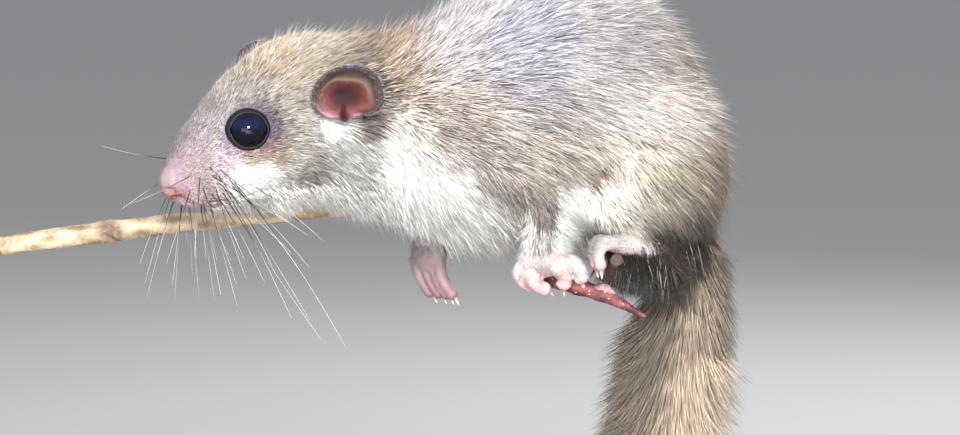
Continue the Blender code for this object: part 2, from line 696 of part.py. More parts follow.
def locks_of_row(row, chance):
    place, core, reach, along, sideways, depthways = tail_frame(row + 0.3)
    locks = []
    for k in range(LOCKS_A_ROW):
        angle = 2 * math.pi * (k + 0.5 * (row % 2) + chance.uniform(-0.16, 0.16)) / LOCKS_A_ROW
        outward = sideways * math.cos(angle) + depthways * math.sin(angle)
        depth = 1.0 - (1.0 - TAIL_DEPTH_SHARE) * abs(math.sin(angle))
        rise = (reach * depth - core * LOCK_ROOT_SHARE) * chance.uniform(0.88, 1.04)
        length = lock_length(reach) * chance.uniform(0.9, 1.1)
        root = place + outward * core * LOCK_ROOT_SHARE
        length = min(length, (root.z - TAIL_LOWEST) / -along.z)
        locks.append(lock_rings(root, outward, along, length, rise, min(1.0, reach / 13.0) + 0.1))
    return locks


def break_mesh(name, row, grow):
    """Everything below a break: a bell whose wall runs between two rows of locks."""
    place, core, reach, along, sideways, depthways = tail_frame(row)
    place = place - along * grow
    length = lock_length(reach)
    rings = []
    for share in (0.0, 0.3, 0.6, 1.0, 1.5, 2.4):
        spread = core * LOCK_ROOT_SHARE + (reach - core * LOCK_ROOT_SHARE) * min(lock_lift(share), share) + grow
        if share > 1.0:
            spread = reach * (1.4 + (share - 1.0) * 2.0)
        ring = []
        for k in range(16):
            angle = 2 * math.pi * k / 16
            depth = 1.0 - (1.0 - TAIL_DEPTH_SHARE) * abs(math.sin(angle))
            outward = sideways * math.cos(angle) + depthways * math.sin(angle)
            ring.append(place + along * length * share + outward * spread * depth)
        rings.append(ring)
    bottom = [point + Vector((0.0, 0.0, -120.0)) for point in rings[-1]]
    rings.append(bottom)
    return loft_mesh(name, rings)


def make_tail():
    """Three lengths of tail, each a core with its own locks, that nest as their locks do."""
    chance = random.Random(TAIL_SEED)
    core_rows = [row[:4] for row in smooth_rows(TAIL_AXIS, 2)]
    names = ("tail_base", "tail_middle", "tail_tip")
    tops, ends = [None, *TAIL_BREAK_ROWS], [*TAIL_BREAK_ROWS, None]
    for name, top, end in zip(names, tops, ends):
        tail = part(name, loft_mesh(name, tube_rings(core_rows, 9, steps=1)), materials["tail"])
        rows = range(math.ceil(top or 0), math.ceil(end or TAIL_ROWS))
        locks = bpy.data.collections.new(f"{name}_locks")
        cutters.children.link(locks)
        for row in rows:
            for k, rings in enumerate(locks_of_row(row, chance)):
                new_object(f"{name}_lock_{row}_{k}", loft_mesh("lock", rings), materials["tail"], locks)
        join = tail.modifiers.new("join the locks", "BOOLEAN")
        join.operation = "UNION"
        join.operand_type = "COLLECTION"
        join.collection = locks
        if top:
            cut(tail, cutter(f"{name}_below", break_mesh("below", top, 0.0)), "INTERSECT")
        if end:
            cut(tail, cutter(f"{name}_above", break_mesh("above", end, GAP)))
        if not top:
            cut(tail, trunk_room("tail"))
            for side, side_name in ((1, "left"), (-1, "right")):
                cut(tail, cutter(f"thigh_room_tail_{side_name}", thigh_mesh(side, GAP)))
        for modifier in tail.modifiers:
            modifier.solver = "MANIFOLD"
        settle(tail)
        for lock in list(locks.objects):
            bpy.data.objects.remove(lock, do_unlink=True)
        bpy.data.collections.remove(locks)


def make_perch():
    """A cut length of branch, a thorn spur for the left hand and a side twig for the left foot."""
    tube_part("perch_branch", BRANCH, TWIG_SIDES, materials["bark"])
    spur = tube_part("perch_spur", SPUR, TWIG_SIDES, materials["twig"])
    bud = ball_mesh("bud", SPUR_BUD[0], SPUR_BUD[1], None, 10, 8)
    cut(spur, cutter("spur_bud", bud), "UNION")
    twig = tube_part("perch_side_twig", SIDE_TWIG, TWIG_SIDES, materials["twig"])
    for obj in (spur, twig):
        cut(obj, tube_room(f"branch_room_{obj.name}", BRANCH))
        settle(obj)


def make_stand():
    """A flat base with a collar and one rod up to the branch."""
    shape = bmesh.new()
    bmesh.ops.create_cube(shape, size=1.0)
    for vertex in shape.verts:
        vertex.co = Vector((vertex.co.x * BASE_LENGTH, vertex.co.y * BASE_WIDTH,
                            (vertex.co.z + 0.5) * BASE_HEIGHT)) / 1000.0
    upright = [edge for edge in shape.edges if abs(edge.verts[0].co.z - edge.verts[1].co.z) > 0.001]
    bmesh.ops.bevel(shape, geom=upright, offset=BASE_CORNER / 1000.0, segments=5, affect="EDGES", profile=0.5)
    mesh = bpy.data.meshes.new("stand_base")
    shape.to_mesh(mesh)
    shape.free()
    base = part("stand_base", mesh, materials["base"])
    bevel = base.modifiers.new("softened edge", "BEVEL")
    bevel.width = BASE_EDGE / 1000.0
    bevel.segments = 2
    bevel.angle_limit = math.radians(60.0)
    base_top = BASE_CENTRE.z + BASE_HEIGHT
    collar = [(*ROD_PLACE, base_top + GAP, COLLAR_RADIUS),
              (*ROD_PLACE, base_top + GAP + COLLAR_HEIGHT * 0.6, COLLAR_RADIUS),
              (*ROD_PLACE, base_top + GAP + COLLAR_HEIGHT, COLLAR_RADIUS * 0.66)]
    tube = loft_mesh("stand_collar", tube_rings(collar, 24, steps=1))
    part("stand_collar", tube, materials["metal"])
    rod_bottom = base_top + COLLAR_HEIGHT + 2 * GAP
    rod = [(*ROD_PLACE, rod_bottom, ROD_RADIUS), (*ROD_PLACE, 0.0, ROD_RADIUS), (*ROD_PLACE, 7.0, ROD_RADIUS)]
    rod_object = part("stand_rod", loft_mesh("stand_rod", tube_rings(rod, 16, steps=1)), materials["metal"])
    cut(rod_object, tube_room("branch_room_rod", BRANCH))
    settle(rod_object)


for old in list(bpy.data.objects):
    bpy.data.objects.remove(old, do_unlink=True)
parts = new_collection("edible_dormouse")
cutters = new_collection("cutters")
cutters.hide_render = True
materials = {
    "fur": new_material("fur", (0.42, 0.35, 0.27), 0.85),
    "fur_pale": new_material("fur_pale", (0.74, 0.69, 0.60), 0.85),
    "tail": new_material("tail", (0.40, 0.33, 0.26), 0.85),
    "skin": new_material("skin", (0.78, 0.50, 0.46), 0.5),
    "ear": new_material("ear", (0.30, 0.20, 0.18), 0.6),
    "eye": new_material("eye", (0.01, 0.01, 0.014), 0.05),
    "bark": new_material("bark", (0.45, 0.33, 0.22), 0.8),
    "twig": new_material("twig", (0.24, 0.10, 0.08), 0.7),
    "base": new_material("base", (0.16, 0.09, 0.05), 0.4),
    "metal": new_material("metal", (0.55, 0.50, 0.42), 0.3, 1.0),
}
make_trunk()
make_head()
make_nose()
make_eyes()
make_ears()
make_arms()
make_legs()
make_perch()
make_hands_and_feet()
make_tail()
make_stand()
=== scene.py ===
# %% [markdown]
# # An edible dormouse, dressed from its imported solids
#
# The imported model holds the animal as plain solids that go out to the tips of its coat,
# with the cut branch that it grips and a display stand. This lesson puts the animal's skin
# inside those solids, grows a coat of small solid tufts from the skin out to them, and
# gives the face, the hands, the bark and the stand their finish.
#
# We start by loading the frame.

# %% Load the frame
import math

import bmesh
import bpy
import numpy as np
from mathutils import Matrix, Vector
from mathutils.bvhtree import BVHTree


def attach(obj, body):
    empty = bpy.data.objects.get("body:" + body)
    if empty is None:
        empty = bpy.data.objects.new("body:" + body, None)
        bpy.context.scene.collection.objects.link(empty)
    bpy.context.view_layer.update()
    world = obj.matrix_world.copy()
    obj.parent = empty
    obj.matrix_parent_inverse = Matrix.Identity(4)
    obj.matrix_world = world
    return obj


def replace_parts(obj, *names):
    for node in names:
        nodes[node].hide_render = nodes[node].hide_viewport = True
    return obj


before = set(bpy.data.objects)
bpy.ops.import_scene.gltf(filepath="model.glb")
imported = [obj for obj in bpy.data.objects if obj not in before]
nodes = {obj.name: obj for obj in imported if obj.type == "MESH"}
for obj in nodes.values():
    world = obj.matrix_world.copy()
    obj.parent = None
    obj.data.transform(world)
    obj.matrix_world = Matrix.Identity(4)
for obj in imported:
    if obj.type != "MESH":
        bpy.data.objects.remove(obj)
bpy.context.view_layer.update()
MM = 0.001
TRUNK_MIDDLE = Vector((-0.012, -0.003, 0.146))

# %% [markdown]
# ## Places on the animal
#
# The animal's own measures are easiest to think of in millimetres from the middle of its
# trunk, and on the head in millimetres behind the nose tip, sideways and above. Two small
# functions turn both into places in the frame, so that no later cell has to.


# %% Measures of the animal
HEAD_YAW = math.radians(31.0)
HEAD_TILT = 0.08
FORWARD = Vector((-math.cos(HEAD_YAW), -math.sin(HEAD_YAW), 0.0))
LEFTWARD = Vector((math.sin(HEAD_YAW), -math.cos(HEAD_YAW), -HEAD_TILT)).normalized()
UPWARD = Vector((0.0, 0.0, 1.0))
HEAD_UP = FORWARD.cross(LEFTWARD)
NOSE_TIP = Vector((-66.0, -21.5, 0.0))
EYE_PLACE = (16.4, 7.7, 20.4)
EYE_RADIUS = 0.0041


def body(x, y, z):
    """A place in millimetres from the middle of the trunk, in the frame's metres."""
    return Vector((x, y, z)) * MM + TRUNK_MIDDLE


def head(behind, sideways, height):
    """A place in millimetres from the nose tip, sideways being the animal's left."""
    place = NOSE_TIP - FORWARD * behind + LEFTWARD * sideways + UPWARD * height
    return body(*place)


def eye_centre(side):
    """The far eye lies a little deeper, because the head leans."""
    return head(EYE_PLACE[0], side * EYE_PLACE[1] + (0.5 if side < 0 else 0.0), EYE_PLACE[2])


def eye_axes(side):
    """Along, upright and outward axes of an eye, as the columns of a matrix."""
    outward = (LEFTWARD * side * 0.93 + FORWARD * 0.28 + HEAD_UP * 0.16).normalized()
    along = HEAD_UP.cross(outward).normalized()
    return Matrix((along, outward.cross(along), outward)).transposed()


def trunk_measures(points):
    """Each point's place in millimetres from the middle of the trunk."""
    return (points - np.array(TRUNK_MIDDLE)) / MM


def linear(red, green, blue):
    """A colour as an eye reads it, 0 to 255, as the linear values that shaders take."""
    values = np.array([red, green, blue]) / 255
    return np.where(values > 0.04, ((values + 0.055) / 1.055) ** 2.4, values / 12.92)


def blend(colours, other, share):
    """Mixes another colour in by a share for each point."""
    share = np.clip(share, 0, 1)[..., None]
    return colours * (1 - share) + other * share


SIDES = ((1, "left"), (-1, "right"))
chance = np.random.default_rng(11)
print("nose tip at", tuple(round(v, 4) for v in head(0, 0, 0)))

# %% [markdown]
# ## The guides of the coat
#
# Fur lies backwards from the nose, over the crown and down the flanks, and it is short on
# the face and long on the trunk. A few dozen guides say this: each has a place, the way the
# hair lies there, its length, how deep the coat is, and its colour. Every point of the skin
# takes a blend of the guides near it, so lie, length and colour change smoothly.

# %% Guides of the head
BACK = -FORWARD


def way(back=0.0, up=0.0, side=0.0):
    """A direction on the head, from how far it goes back, up and to the animal's left."""
    return BACK * back + HEAD_UP * up + LEFTWARD * side


def head_guides():
    """Guides on the head: place, way, length, depth, colour."""
    middle = [
        (3.2, 15.0, way(0.75, 0.65), 0.9, 0.3, (142, 128, 138)),
        (8.0, 22.6, way(0.78, 0.62), 1.5, 0.5, (132, 126, 130)),
        (14.5, 29.8, way(0.82, 0.55), 2.6, 0.9, (178, 160, 142)),
        (23.0, 36.0, way(0.9, 0.4), 3.4, 1.2, (214, 176, 140)),
        (33.0, 39.5, way(1.0, 0.1), 4.4, 1.6, (214, 184, 156)),
        (5.0, 4.8, way(1.0, -0.1), 0.7, 0.2, (216, 176, 176)),
        (14.5, 2.7, way(1.0, -0.15), 1.6, 0.5, (240, 230, 220)),
        (25.0, 2.4, way(1.0, -0.2), 2.8, 0.9, (246, 240, 230)),
        (37.5, 3.2, way(0.9, -0.45), 4.6, 1.7, (248, 243, 234)),
    ]
    sides = [
        (4.2, 3.9, 9.4, way(1.0, 0.0), 0.6, 0.15, (184, 148, 154)),
        (8.0, 7.0, 8.2, way(1.0, -0.05), 0.9, 0.25, (176, 146, 152)),
        (8.8, 6.8, 15.4, way(0.9, 0.4), 1.3, 0.4, (158, 146, 156)),
        (13.5, 9.4, 14.5, way(1.0, 0.1), 1.6, 0.5, (172, 156, 150)),
        (12.6, 9.2, 7.4, way(1.0, -0.15), 1.6, 0.5, (242, 228, 222)),
        (20.0, 12.0, 8.6, way(1.0, -0.2), 2.6, 0.9, (254, 251, 244)),
        (20.5, 12.6, 13.0, way(1.0, -0.1), 2.4, 0.8, (212, 197, 177)),
        (14.0, 8.0, 26.6, way(0.8, 0.5), 1.9, 0.6, (146, 138, 138)),
        (21.5, 12.5, 25.4, way(0.95, 0.2), 2.6, 0.9, (170, 156, 144)),
        (24.5, 13.8, 18.0, way(1.0, 0.0), 2.8, 1.0, (176, 160, 142)),
        (30.0, 15.0, 26.4, way(1.0, 0.05), 3.4, 1.2, (196, 178, 156)),
        (30.0, 13.0, 33.6, way(1.0, 0.15), 3.8, 1.3, (220, 190, 156)),
        (38.0, 14.0, 35.0, way(1.0, 0.05), 4.6, 1.6, (166, 146, 126)),
        (28.0, 14.8, 10.6, way(0.9, -0.4), 3.6, 1.3, (208, 198, 180)),
        (34.0, 15.6, 17.0, way(0.85, -0.5), 4.4, 1.6, (246, 241, 230)),
        (39.0, 15.6, 14.0, way(0.85, -0.5), 4.8, 1.8, (255, 252, 246)),
        (38.0, 13.0, 7.0, way(0.85, -0.5), 5.0, 1.9, (252, 248, 240)),
        (33.0, 16.4, 21.5, way(0.25, -1.0), 3.0, 1.2, (255, 252, 250)),
    ]
    rows = [(head(b, 0.0, h), w, length, depth, colour) for b, h, w, length, depth, colour in middle]
    for b, s, h, w, length, depth, colour in sides:
        for side in (1, -1):
            rows.append((head(b, side * s, h), w, length, depth, colour))
    return rows


# %% Guides of the neck, trunk and legs
def trunk_guides():
    """Guides on the neck, trunk and legs: place, way, length, depth, colour."""
    middle = [
        (-25, 39, (1, 0, 0.0), 5.4, 2.0, (148, 126, 106)),
        (-8, 46, (1, 0, 0.22), 6.5, 2.3, (172, 166, 170)),
        (12, 52, (1, 0, 0.0), 7.0, 2.5, (166, 164, 176)),
        (30, 50, (0.95, 0, -0.3), 7.0, 2.5, (186, 174, 172)),
        (44, 36, (0.6, 0, -0.8), 7.0, 2.3, (188, 168, 156)),
        (51, 16, (0.1, 0, -1.0), 6.6, 2.1, (154, 130, 112)),
        # Painted shade: the guide under the rump is coloured dark brown.
        (46, -6, (0.1, 0, -1.0), 11.0, 2.4, (70, 58, 46)),
        (-24, 0, (0.85, 0, -0.5), 6.2, 2.2, (255, 252, 246)),
        (-8, -6, (0.95, 0, -0.25), 6.8, 2.4, (250, 245, 236)),
        (12, -7, (1.0, 0, -0.1), 6.2, 2.2, (246, 238, 226)),
        (30, -9, (0.9, 0, -0.4), 6.5, 2.0, (170, 150, 124)),
    ]
    sides = [
        (-22, 16, 30, (1, 0, -0.05), 5.4, 1.9, (146, 129, 114)),
        (-22, 17, 16, (0.9, 0, -0.4), 5.8, 2.1, (210, 200, 190)),
        (-20, 12, 3, (0.8, 0, -0.6), 6.2, 2.2, (252, 248, 240)),
        (-6, 17, 36, (1, 0, 0.05), 6.5, 2.3, (174, 166, 168)),
        (-6, 20, 22, (1, 0, -0.2), 6.5, 2.3, (160, 146, 136)),
        (-8, 18, 8, (0.9, 0, -0.5), 6.6, 2.3, (238, 232, 226)),
        (8, 19, 40, (1, 0, -0.05), 7.0, 2.5, (170, 168, 178)),
        (8, 23, 24, (1, 0, -0.2), 7.0, 2.4, (166, 158, 158)),
        (5, 21, 10, (0.95, 0, -0.4), 6.6, 2.3, (190, 178, 166)),
        (8, 14, -3, (0.95, 0, -0.3), 6.2, 2.2, (248, 241, 230)),
        (22, 19, 40, (0.95, 0, -0.3), 7.0, 2.4, (186, 178, 180)),
        (21, 23, 26, (0.9, 0, -0.35), 7.0, 2.3, (196, 186, 182)),
        (20, 24, 14, (0.85, 0, -0.5), 6.4, 2.0, (204, 186, 164)),
        (30, 26, 24, (0.8, 0, -0.5), 6.8, 2.1, (212, 200, 192)),
        (30, 26, 14, (0.75, 0, -0.6), 6.6, 2.0, (198, 182, 162)),
        (38, 26, 10, (0.7, 0, -0.7), 6.8, 2.1, (182, 160, 138)),
        (40, 22, 28, (0.75, 0, -0.65), 7.0, 2.2, (200, 184, 174)),
        (48, 16, 12, (0.35, 0, -0.9), 6.8, 2.1, (150, 126, 108)),
        # Painted shade: the next six guides, under the haunch and rump, are coloured dark brown.
        (38, 22, -4, (0.35, 0, -0.9), 9.0, 2.0, (84, 70, 56)),
        (30, 23, -8, (0.3, 0, -0.9), 7.0, 1.6, (80, 66, 52)),
        (44, 24, -3, (0.3, 0, -0.9), 9.0, 2.0, (96, 80, 64)),
        (38, 26, -9, (0.3, 0, -0.9), 10.0, 2.0, (70, 58, 46)),
        (46, 16, -7, (0.2, 0, -0.95), 11.0, 2.2, (70, 58, 46)),
        (51, 12, 0, (0.1, 0, -1.0), 9.0, 2.0, (112, 96, 78)),
        (26, 23, 6, (0.5, 0, -0.8), 4.6, 1.4, (246, 236, 216)),
        (26, 23, -1, (0.7, 0, -0.6), 3.0, 0.8, (238, 224, 202)),
        (33, 22, -3, (0.8, 0, -0.5), 4.6, 1.1, (120, 102, 84)),
    ]
    rows = [(body(x, 0, z), Vector(w), length, depth, colour) for x, z, w, length, depth, colour in middle]
    for x, y, z, w, length, depth, colour in sides:
        for side in (1, -1):
            rows.append((body(x, side * y, z), Vector(w), length, depth, colour))
    arms = [
        (body(4, -25, 15), (0.85, 0, -0.5), 5.8, 1.8, (196, 184, 162)),
        (body(12, -25, 9), (0.6, 0, -0.8), 4.8, 1.4, (178, 164, 146)),
        (body(10, -24, 3), (0.3, 0, -0.9), 4.4, 1.2, (150, 136, 126)),
        (body(18, -23, 3), (0.2, 0, -1), 4.4, 1.2, (252, 246, 238)),
        (body(14, -24, -2), (-0.1, 0, -1), 3.6, 1.0, (246, 236, 230)),
        (body(12, -23, -7), (-0.1, 0, -1), 2.0, 0.5, (252, 240, 238)),
        (body(-3, 20, 8), (0.8, 0, -0.5), 5.6, 1.8, (226, 218, 202)),
        (body(-2, 18, -2), (-0.6, 0, -0.8), 3.4, 1.0, (232, 222, 210)),
        (body(-10, 14, -6), (-0.5, 0, -0.9), 2.0, 0.5, (214, 186, 184)),
    ]
    return rows + [(place, Vector(w), length, depth, colour) for place, w, length, depth, colour in arms]


# %% Blend the guides
guides = head_guides() + trunk_guides()
GUIDE_PLACES = np.array([tuple(g[0]) for g in guides])
GUIDE_WAYS = np.array([tuple(g[1].normalized()) for g in guides])
GUIDE_SIZES = np.array([(g[2] * MM, g[3] * MM) for g in guides])
GUIDE_COLOURS = np.array([linear(*g[4]) for g in guides])
GUIDE_REACH = 0.0046
print(len(guides), "guides")


def blend_guides(points):
    """Way, (length, depth) and colour at each point, from the guides near it."""
    ways, sizes, colours = [], [], []
    for chunk in np.array_split(points, max(1, len(points) // 20000)):
        squared = ((chunk[:, None, :] - GUIDE_PLACES[None]) ** 2).sum(2)
        squared -= squared.min(1, keepdims=True)
        weights = np.exp(-squared / (2 * GUIDE_REACH * GUIDE_REACH))
        weights /= weights.sum(1, keepdims=True)
        ways.append(weights @ GUIDE_WAYS)
        sizes.append(weights @ GUIDE_SIZES)
        colours.append(weights @ GUIDE_COLOURS)
    return np.vstack(ways), np.vstack(sizes), np.vstack(colours)


def waves(points, size, seed):
    """A smooth random number from -1 to 1 at each point, changing over about the given size."""
    source = np.random.default_rng(seed)
    total = np.zeros(len(points))
    for _ in range(7):
        direction = source.normal(size=3)
        direction /= np.linalg.norm(direction)
        pace = 2 * math.pi / (size * source.uniform(0.7, 1.6))
        total += np.sin(points @ direction * pace + source.uniform(0, 6.3))
    return total / 3.2


def bump_at(value, middle, width):
    """One at the middle, falling smoothly to nothing a few widths away."""
    return np.exp(-(((value - middle) / width) ** 2))


# %% [markdown]
# ## Markings
#
# The guides give the broad colours. A dormouse also has a dark ring round each eye, a bright
# cheek, a pink muzzle and a pale patch below the ear. Each marking is a soft spot with a
# place, a size and a colour, and one function paints skin and coat alike. Three dark brown
# spots under the rump are no marking but painted shade.


# %% Markings of skin and coat
HEAD_SPOTS = [
    (17.0, 9.0, 20.2, 5.4, 1.0, (96, 86, 98)), (12.2, 8.6, 18.8, 2.8, 0.6, (104, 96, 114)),
    (21.0, 11.8, 16.0, 2.6, 0.5, (146, 126, 108)), (19.6, 11.4, 15.0, 1.6, 0.4, (190, 164, 140)),
    (32.8, 14.2, 22.2, 3.3, 1.0, (255, 253, 252)), (40.4, 13.6, 22.4, 2.6, 0.85, (88, 74, 68)),
    (42.6, 14.2, 24.4, 2.2, 0.7, (104, 92, 88)), (38.2, 14.3, 20.4, 1.6, 0.6, (112, 96, 86)),
    (28.8, 12.7, 26.0, 1.6, 0.4, (132, 112, 104)), (26.1, 12.5, 12.4, 3.0, 0.3, (150, 136, 118)),
    (16.4, 10.0, 9.0, 4.8, 0.95, (255, 254, 249)), (11.0, 8.0, 14.4, 2.6, 0.4, (196, 170, 192)),
    (15.4, 9.8, 15.2, 2.0, 0.75, (160, 141, 126))]
TRUNK_SPOTS = [
    (-6.0, 18.4, 18.0, 5.0, 0.45, (124, 114, 112)), (2.0, 21.0, 12.6, 5.6, 0.5, (110, 102, 106)),
    (8.0, 22.6, 8.6, 3.4, 0.4, (126, 112, 112)), (8.0, 17.0, 36.0, 9.5, 0.4, (150, 150, 170)),
    (13.4, 22.7, 4.2, 3.0, 0.75, (98, 86, 92)), (19.0, 21.0, 5.5, 3.4, 0.95, (255, 253, 248)),
    (16.9, 20.5, -0.6, 3.0, 0.95, (255, 253, 248)), (22.6, 20.6, 12.6, 1.7, 0.85, (100, 60, 42)),
    (22.4, 20.6, 9.4, 1.4, 0.85, (108, 64, 44)), (23.4, 21.7, 3.6, 3.0, 0.8, (250, 240, 222)),
    # The last three spots, dark brown under the rump, are painted shade.
    (26.6, 20.5, 10.6, 1.3, 0.5, (116, 100, 94)), (44.0, 16.0, -1.2, 7.2, 0.92, (52, 38, 24)),
    (38.0, 22.4, -4.0, 6.2, 0.92, (50, 37, 23)), (31.0, 4.0, -6.7, 8.4, 0.9, (50, 37, 23))]


def spots():
    """Soft spots of colour on both sides: place, radius in millimetres, strength and colour."""
    rows = [(head(2.4, 0.0, 12.0), 3.4, 0.8, linear(150, 128, 142))]
    for side in (1, -1):
        for behind, sideways, height, radius, strength, colour in HEAD_SPOTS:
            rows.append((head(behind, side * sideways, height), radius, strength, linear(*colour)))
        for x, y, z, radius, strength, colour in TRUNK_SPOTS:
            rows.append((body(x, -side * y, z), radius, strength, linear(*colour)))
    return rows


SPOTS = spots()
print(len(SPOTS), "soft spots")


def paint(points):
    """The coat's colour at each point."""
    colours = blend_guides(points)[2]
    colours = colours * 0.76 + colours.mean(1, keepdims=True) * 0.24
    for place, radius, strength, colour in SPOTS:
        distance = np.linalg.norm(points - np.array(place), axis=1) / (radius * MM)
        colours = blend(colours, colour, strength * np.clip(2.7 - 2 * distance, 0, 1))
    tone = 1.0 + 0.08 * waves(points, 0.009, 3) + 0.08 * waves(points, 0.003, 4)
    return np.clip(colours * tone[:, None], 0, 1)

# %% [markdown]
# ## Mesh helpers
#
# Large meshes are quickest from arrays: the corner places, the faces, then one colour for
# each point. The colour is kept in a point attribute that the materials read.


# %% Mesh helpers
def mesh_from_arrays(name, points, quads=None, triangles=None):
    """A mesh from arrays of points and faces."""
    sizes, corners = [], []
    if quads is not None and len(quads):
        corners.append(np.asarray(quads).ravel())
        sizes.append(np.full(len(quads), 4))
    if triangles is not None and len(triangles):
        corners.append(np.asarray(triangles).ravel())
        sizes.append(np.full(len(triangles), 3))
    corners, sizes = np.concatenate(corners), np.concatenate(sizes)
    mesh = bpy.data.meshes.new(name)
    mesh.vertices.add(len(points))
    mesh.vertices.foreach_set("co", np.asarray(points, np.float32).ravel())
    mesh.loops.add(len(corners))
    mesh.loops.foreach_set("vertex_index", corners.astype(np.int32))
    mesh.polygons.add(len(sizes))
    starts = np.concatenate([[0], np.cumsum(sizes)[:-1]])
    mesh.polygons.foreach_set("loop_start", starts.astype(np.int32))
    mesh.update(calc_edges=True)
    mesh.shade_smooth()
    return mesh


def colour_points(mesh, colours):
    """Keeps one colour for each point, for the materials to read."""
    attribute = mesh.attributes.new("coat_colour", "FLOAT_COLOR", "POINT")
    rgba = np.ones((len(colours), 4), np.float32)
    rgba[:, :3] = colours
    attribute.data.foreach_set("color", rgba.ravel())


def add_piece(name, mesh, material):
    """Puts a mesh into the scene as a piece of the body, with its material and slot."""
    obj = bpy.data.objects.new(name, mesh)
    bpy.context.scene.collection.objects.link(obj)
    mesh.materials.clear()
    mesh.materials.append(material)
    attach(obj, "root")
    return obj


# %% Read and move points
def points_of(mesh):
    """The points of a mesh, one row each."""
    values = np.empty(len(mesh.vertices) * 3, np.float32)
    mesh.vertices.foreach_get("co", values)
    return values.reshape(-1, 3).astype(float)


def normals_of(mesh):
    """The direction the surface faces at each point."""
    values = np.empty(len(mesh.vertices) * 3, np.float32)
    mesh.vertex_normals.foreach_get("vector", values)
    return values.reshape(-1, 3).astype(float)


def set_points(mesh, points):
    mesh.vertices.foreach_set("co", np.asarray(points, np.float32).ravel())
    mesh.update()


# %% Join and remesh solids
def finished(shape, name):
    """Turns an edited shape into a mesh."""
    mesh = bpy.data.meshes.new(name)
    shape.to_mesh(mesh)
    shape.free()
    return mesh


def plain_mesh(obj):
    """The mesh of an object as its modifiers leave it."""
    return bpy.data.meshes.new_from_object(obj.evaluated_get(bpy.context.evaluated_depsgraph_get()))


def joined_copy(names, grow):
    """One mesh of copies of these solids, each merged and grown a little so that gaps close."""
    shape = bmesh.new()
    for name in names:
        copy = nodes[name].data.copy()
        part = bmesh.new()
        part.from_mesh(copy)
        bmesh.ops.remove_doubles(part, verts=part.verts, dist=1e-6)
        part.normal_update()
        for vertex in part.verts:
            vertex.co += vertex.normal * grow
        part.to_mesh(copy)
        part.free()
        shape.from_mesh(copy)
        bpy.data.meshes.remove(copy)
    return finished(shape, "joined")


def remeshed(mesh, voxel, smoothing, name):
    """The joined solids as one even, smooth surface."""
    obj = bpy.data.objects.new(name, mesh)
    bpy.context.scene.collection.objects.link(obj)
    remesh = obj.modifiers.new("one surface", "REMESH")
    remesh.mode = "VOXEL"
    remesh.voxel_size = voxel
    smooth = obj.modifiers.new("soften", "SMOOTH")
    smooth.factor = 0.5
    smooth.iterations = smoothing
    result = plain_mesh(obj)
    bpy.data.objects.remove(obj)
    result.name = name
    result.shade_smooth()
    return result


# %% [markdown]
# ## Materials
#
# The coat and the skin read their colour from the points. The coat has no mirror-like
# shine, only a soft sheen along the hairs. Bare skin is a little translucent and damp, so it
# gets some subsurface light, a fine bump and a lower roughness.


# %% Material helpers
def new_material(name, roughness=0.6, metallic=0.0, **constants):
    """A material with constants for its shader's inputs."""
    material = bpy.data.materials.new(name)
    material.use_nodes = True
    tree = material.node_tree
    shader = tree.nodes["Principled BSDF"]
    shader.inputs["Roughness"].default_value = roughness
    shader.inputs["Metallic"].default_value = metallic
    for socket, value in constants.items():
        shader.inputs[socket.replace("_", " ")].default_value = value
    return material, tree, shader


def add_node(tree, kind, **values):
    """A node with its settings and input values."""
    node = tree.nodes.new(kind)
    for name, value in values.items():
        if hasattr(node, name):
            setattr(node, name, value)
        else:
            node.inputs[name.replace("_", " ")].default_value = value
    return node


def link(tree, start, output, end, entry):
    """Links an output of one node to an input of another."""
    tree.links.new(start.outputs[output], end.inputs[entry])


def add_bump(tree, shader, scale, distance, strength=0.5):
    """A fine bump from noise on the object's own coordinates."""
    place = add_node(tree, "ShaderNodeTexCoord")
    noise = add_node(tree, "ShaderNodeTexNoise", Scale=scale, Detail=4.0)
    bump = add_node(tree, "ShaderNodeBump", Strength=strength, Distance=distance)
    link(tree, place, "Object", noise, "Vector")
    link(tree, noise, "Fac", bump, "Height")
    link(tree, bump, "Normal", shader, "Normal")


def attribute_material(name, roughness, bump=None, **constants):
    """A material that reads its colour from the points."""
    material, tree, shader = new_material(name, roughness, **constants)
    colour = add_node(tree, "ShaderNodeAttribute", attribute_name="coat_colour")
    link(tree, colour, "Color", shader, "Base Color")
    if bump:
        add_bump(tree, shader, *bump)
    return material


# %% Finishes of coat and skin
coat_finish = attribute_material("coat of tufts", 0.62, Sheen_Weight=0.1, Sheen_Roughness=0.4,
                                 Specular_IOR_Level=0.16)
skin_finish = attribute_material("haired skin", 0.8, bump=(2600.0, 0.0003, 0.6), Specular_IOR_Level=0.2)
bare_finish = attribute_material("bare pink skin", 0.56, bump=(1900.0, 0.00018, 0.6),
                                 Specular_IOR_Level=0.35, Subsurface_Weight=0.1, Subsurface_Scale=0.0012)
ear_finish = attribute_material("thin ear skin", 0.68, bump=(2400.0, 0.00012, 0.5), Specular_IOR_Level=0.2,
                                Subsurface_Weight=0.15, Subsurface_Scale=0.0015)

# %% [markdown]
# ## The skin
#
# The solids are separate and have gaps between them, but a real skin is one surface. Copies
# of the flesh solids are grown a little so that they touch, wrapped by a voxel remesh and
# smoothed. Then each point moves inwards by the depth of the coat there, so that the tufts
# end where the solids do. The rims of the eye sockets are evened out, so that nothing folds
# over the eyes, and a groove along the mouth brings back the line of the lips.

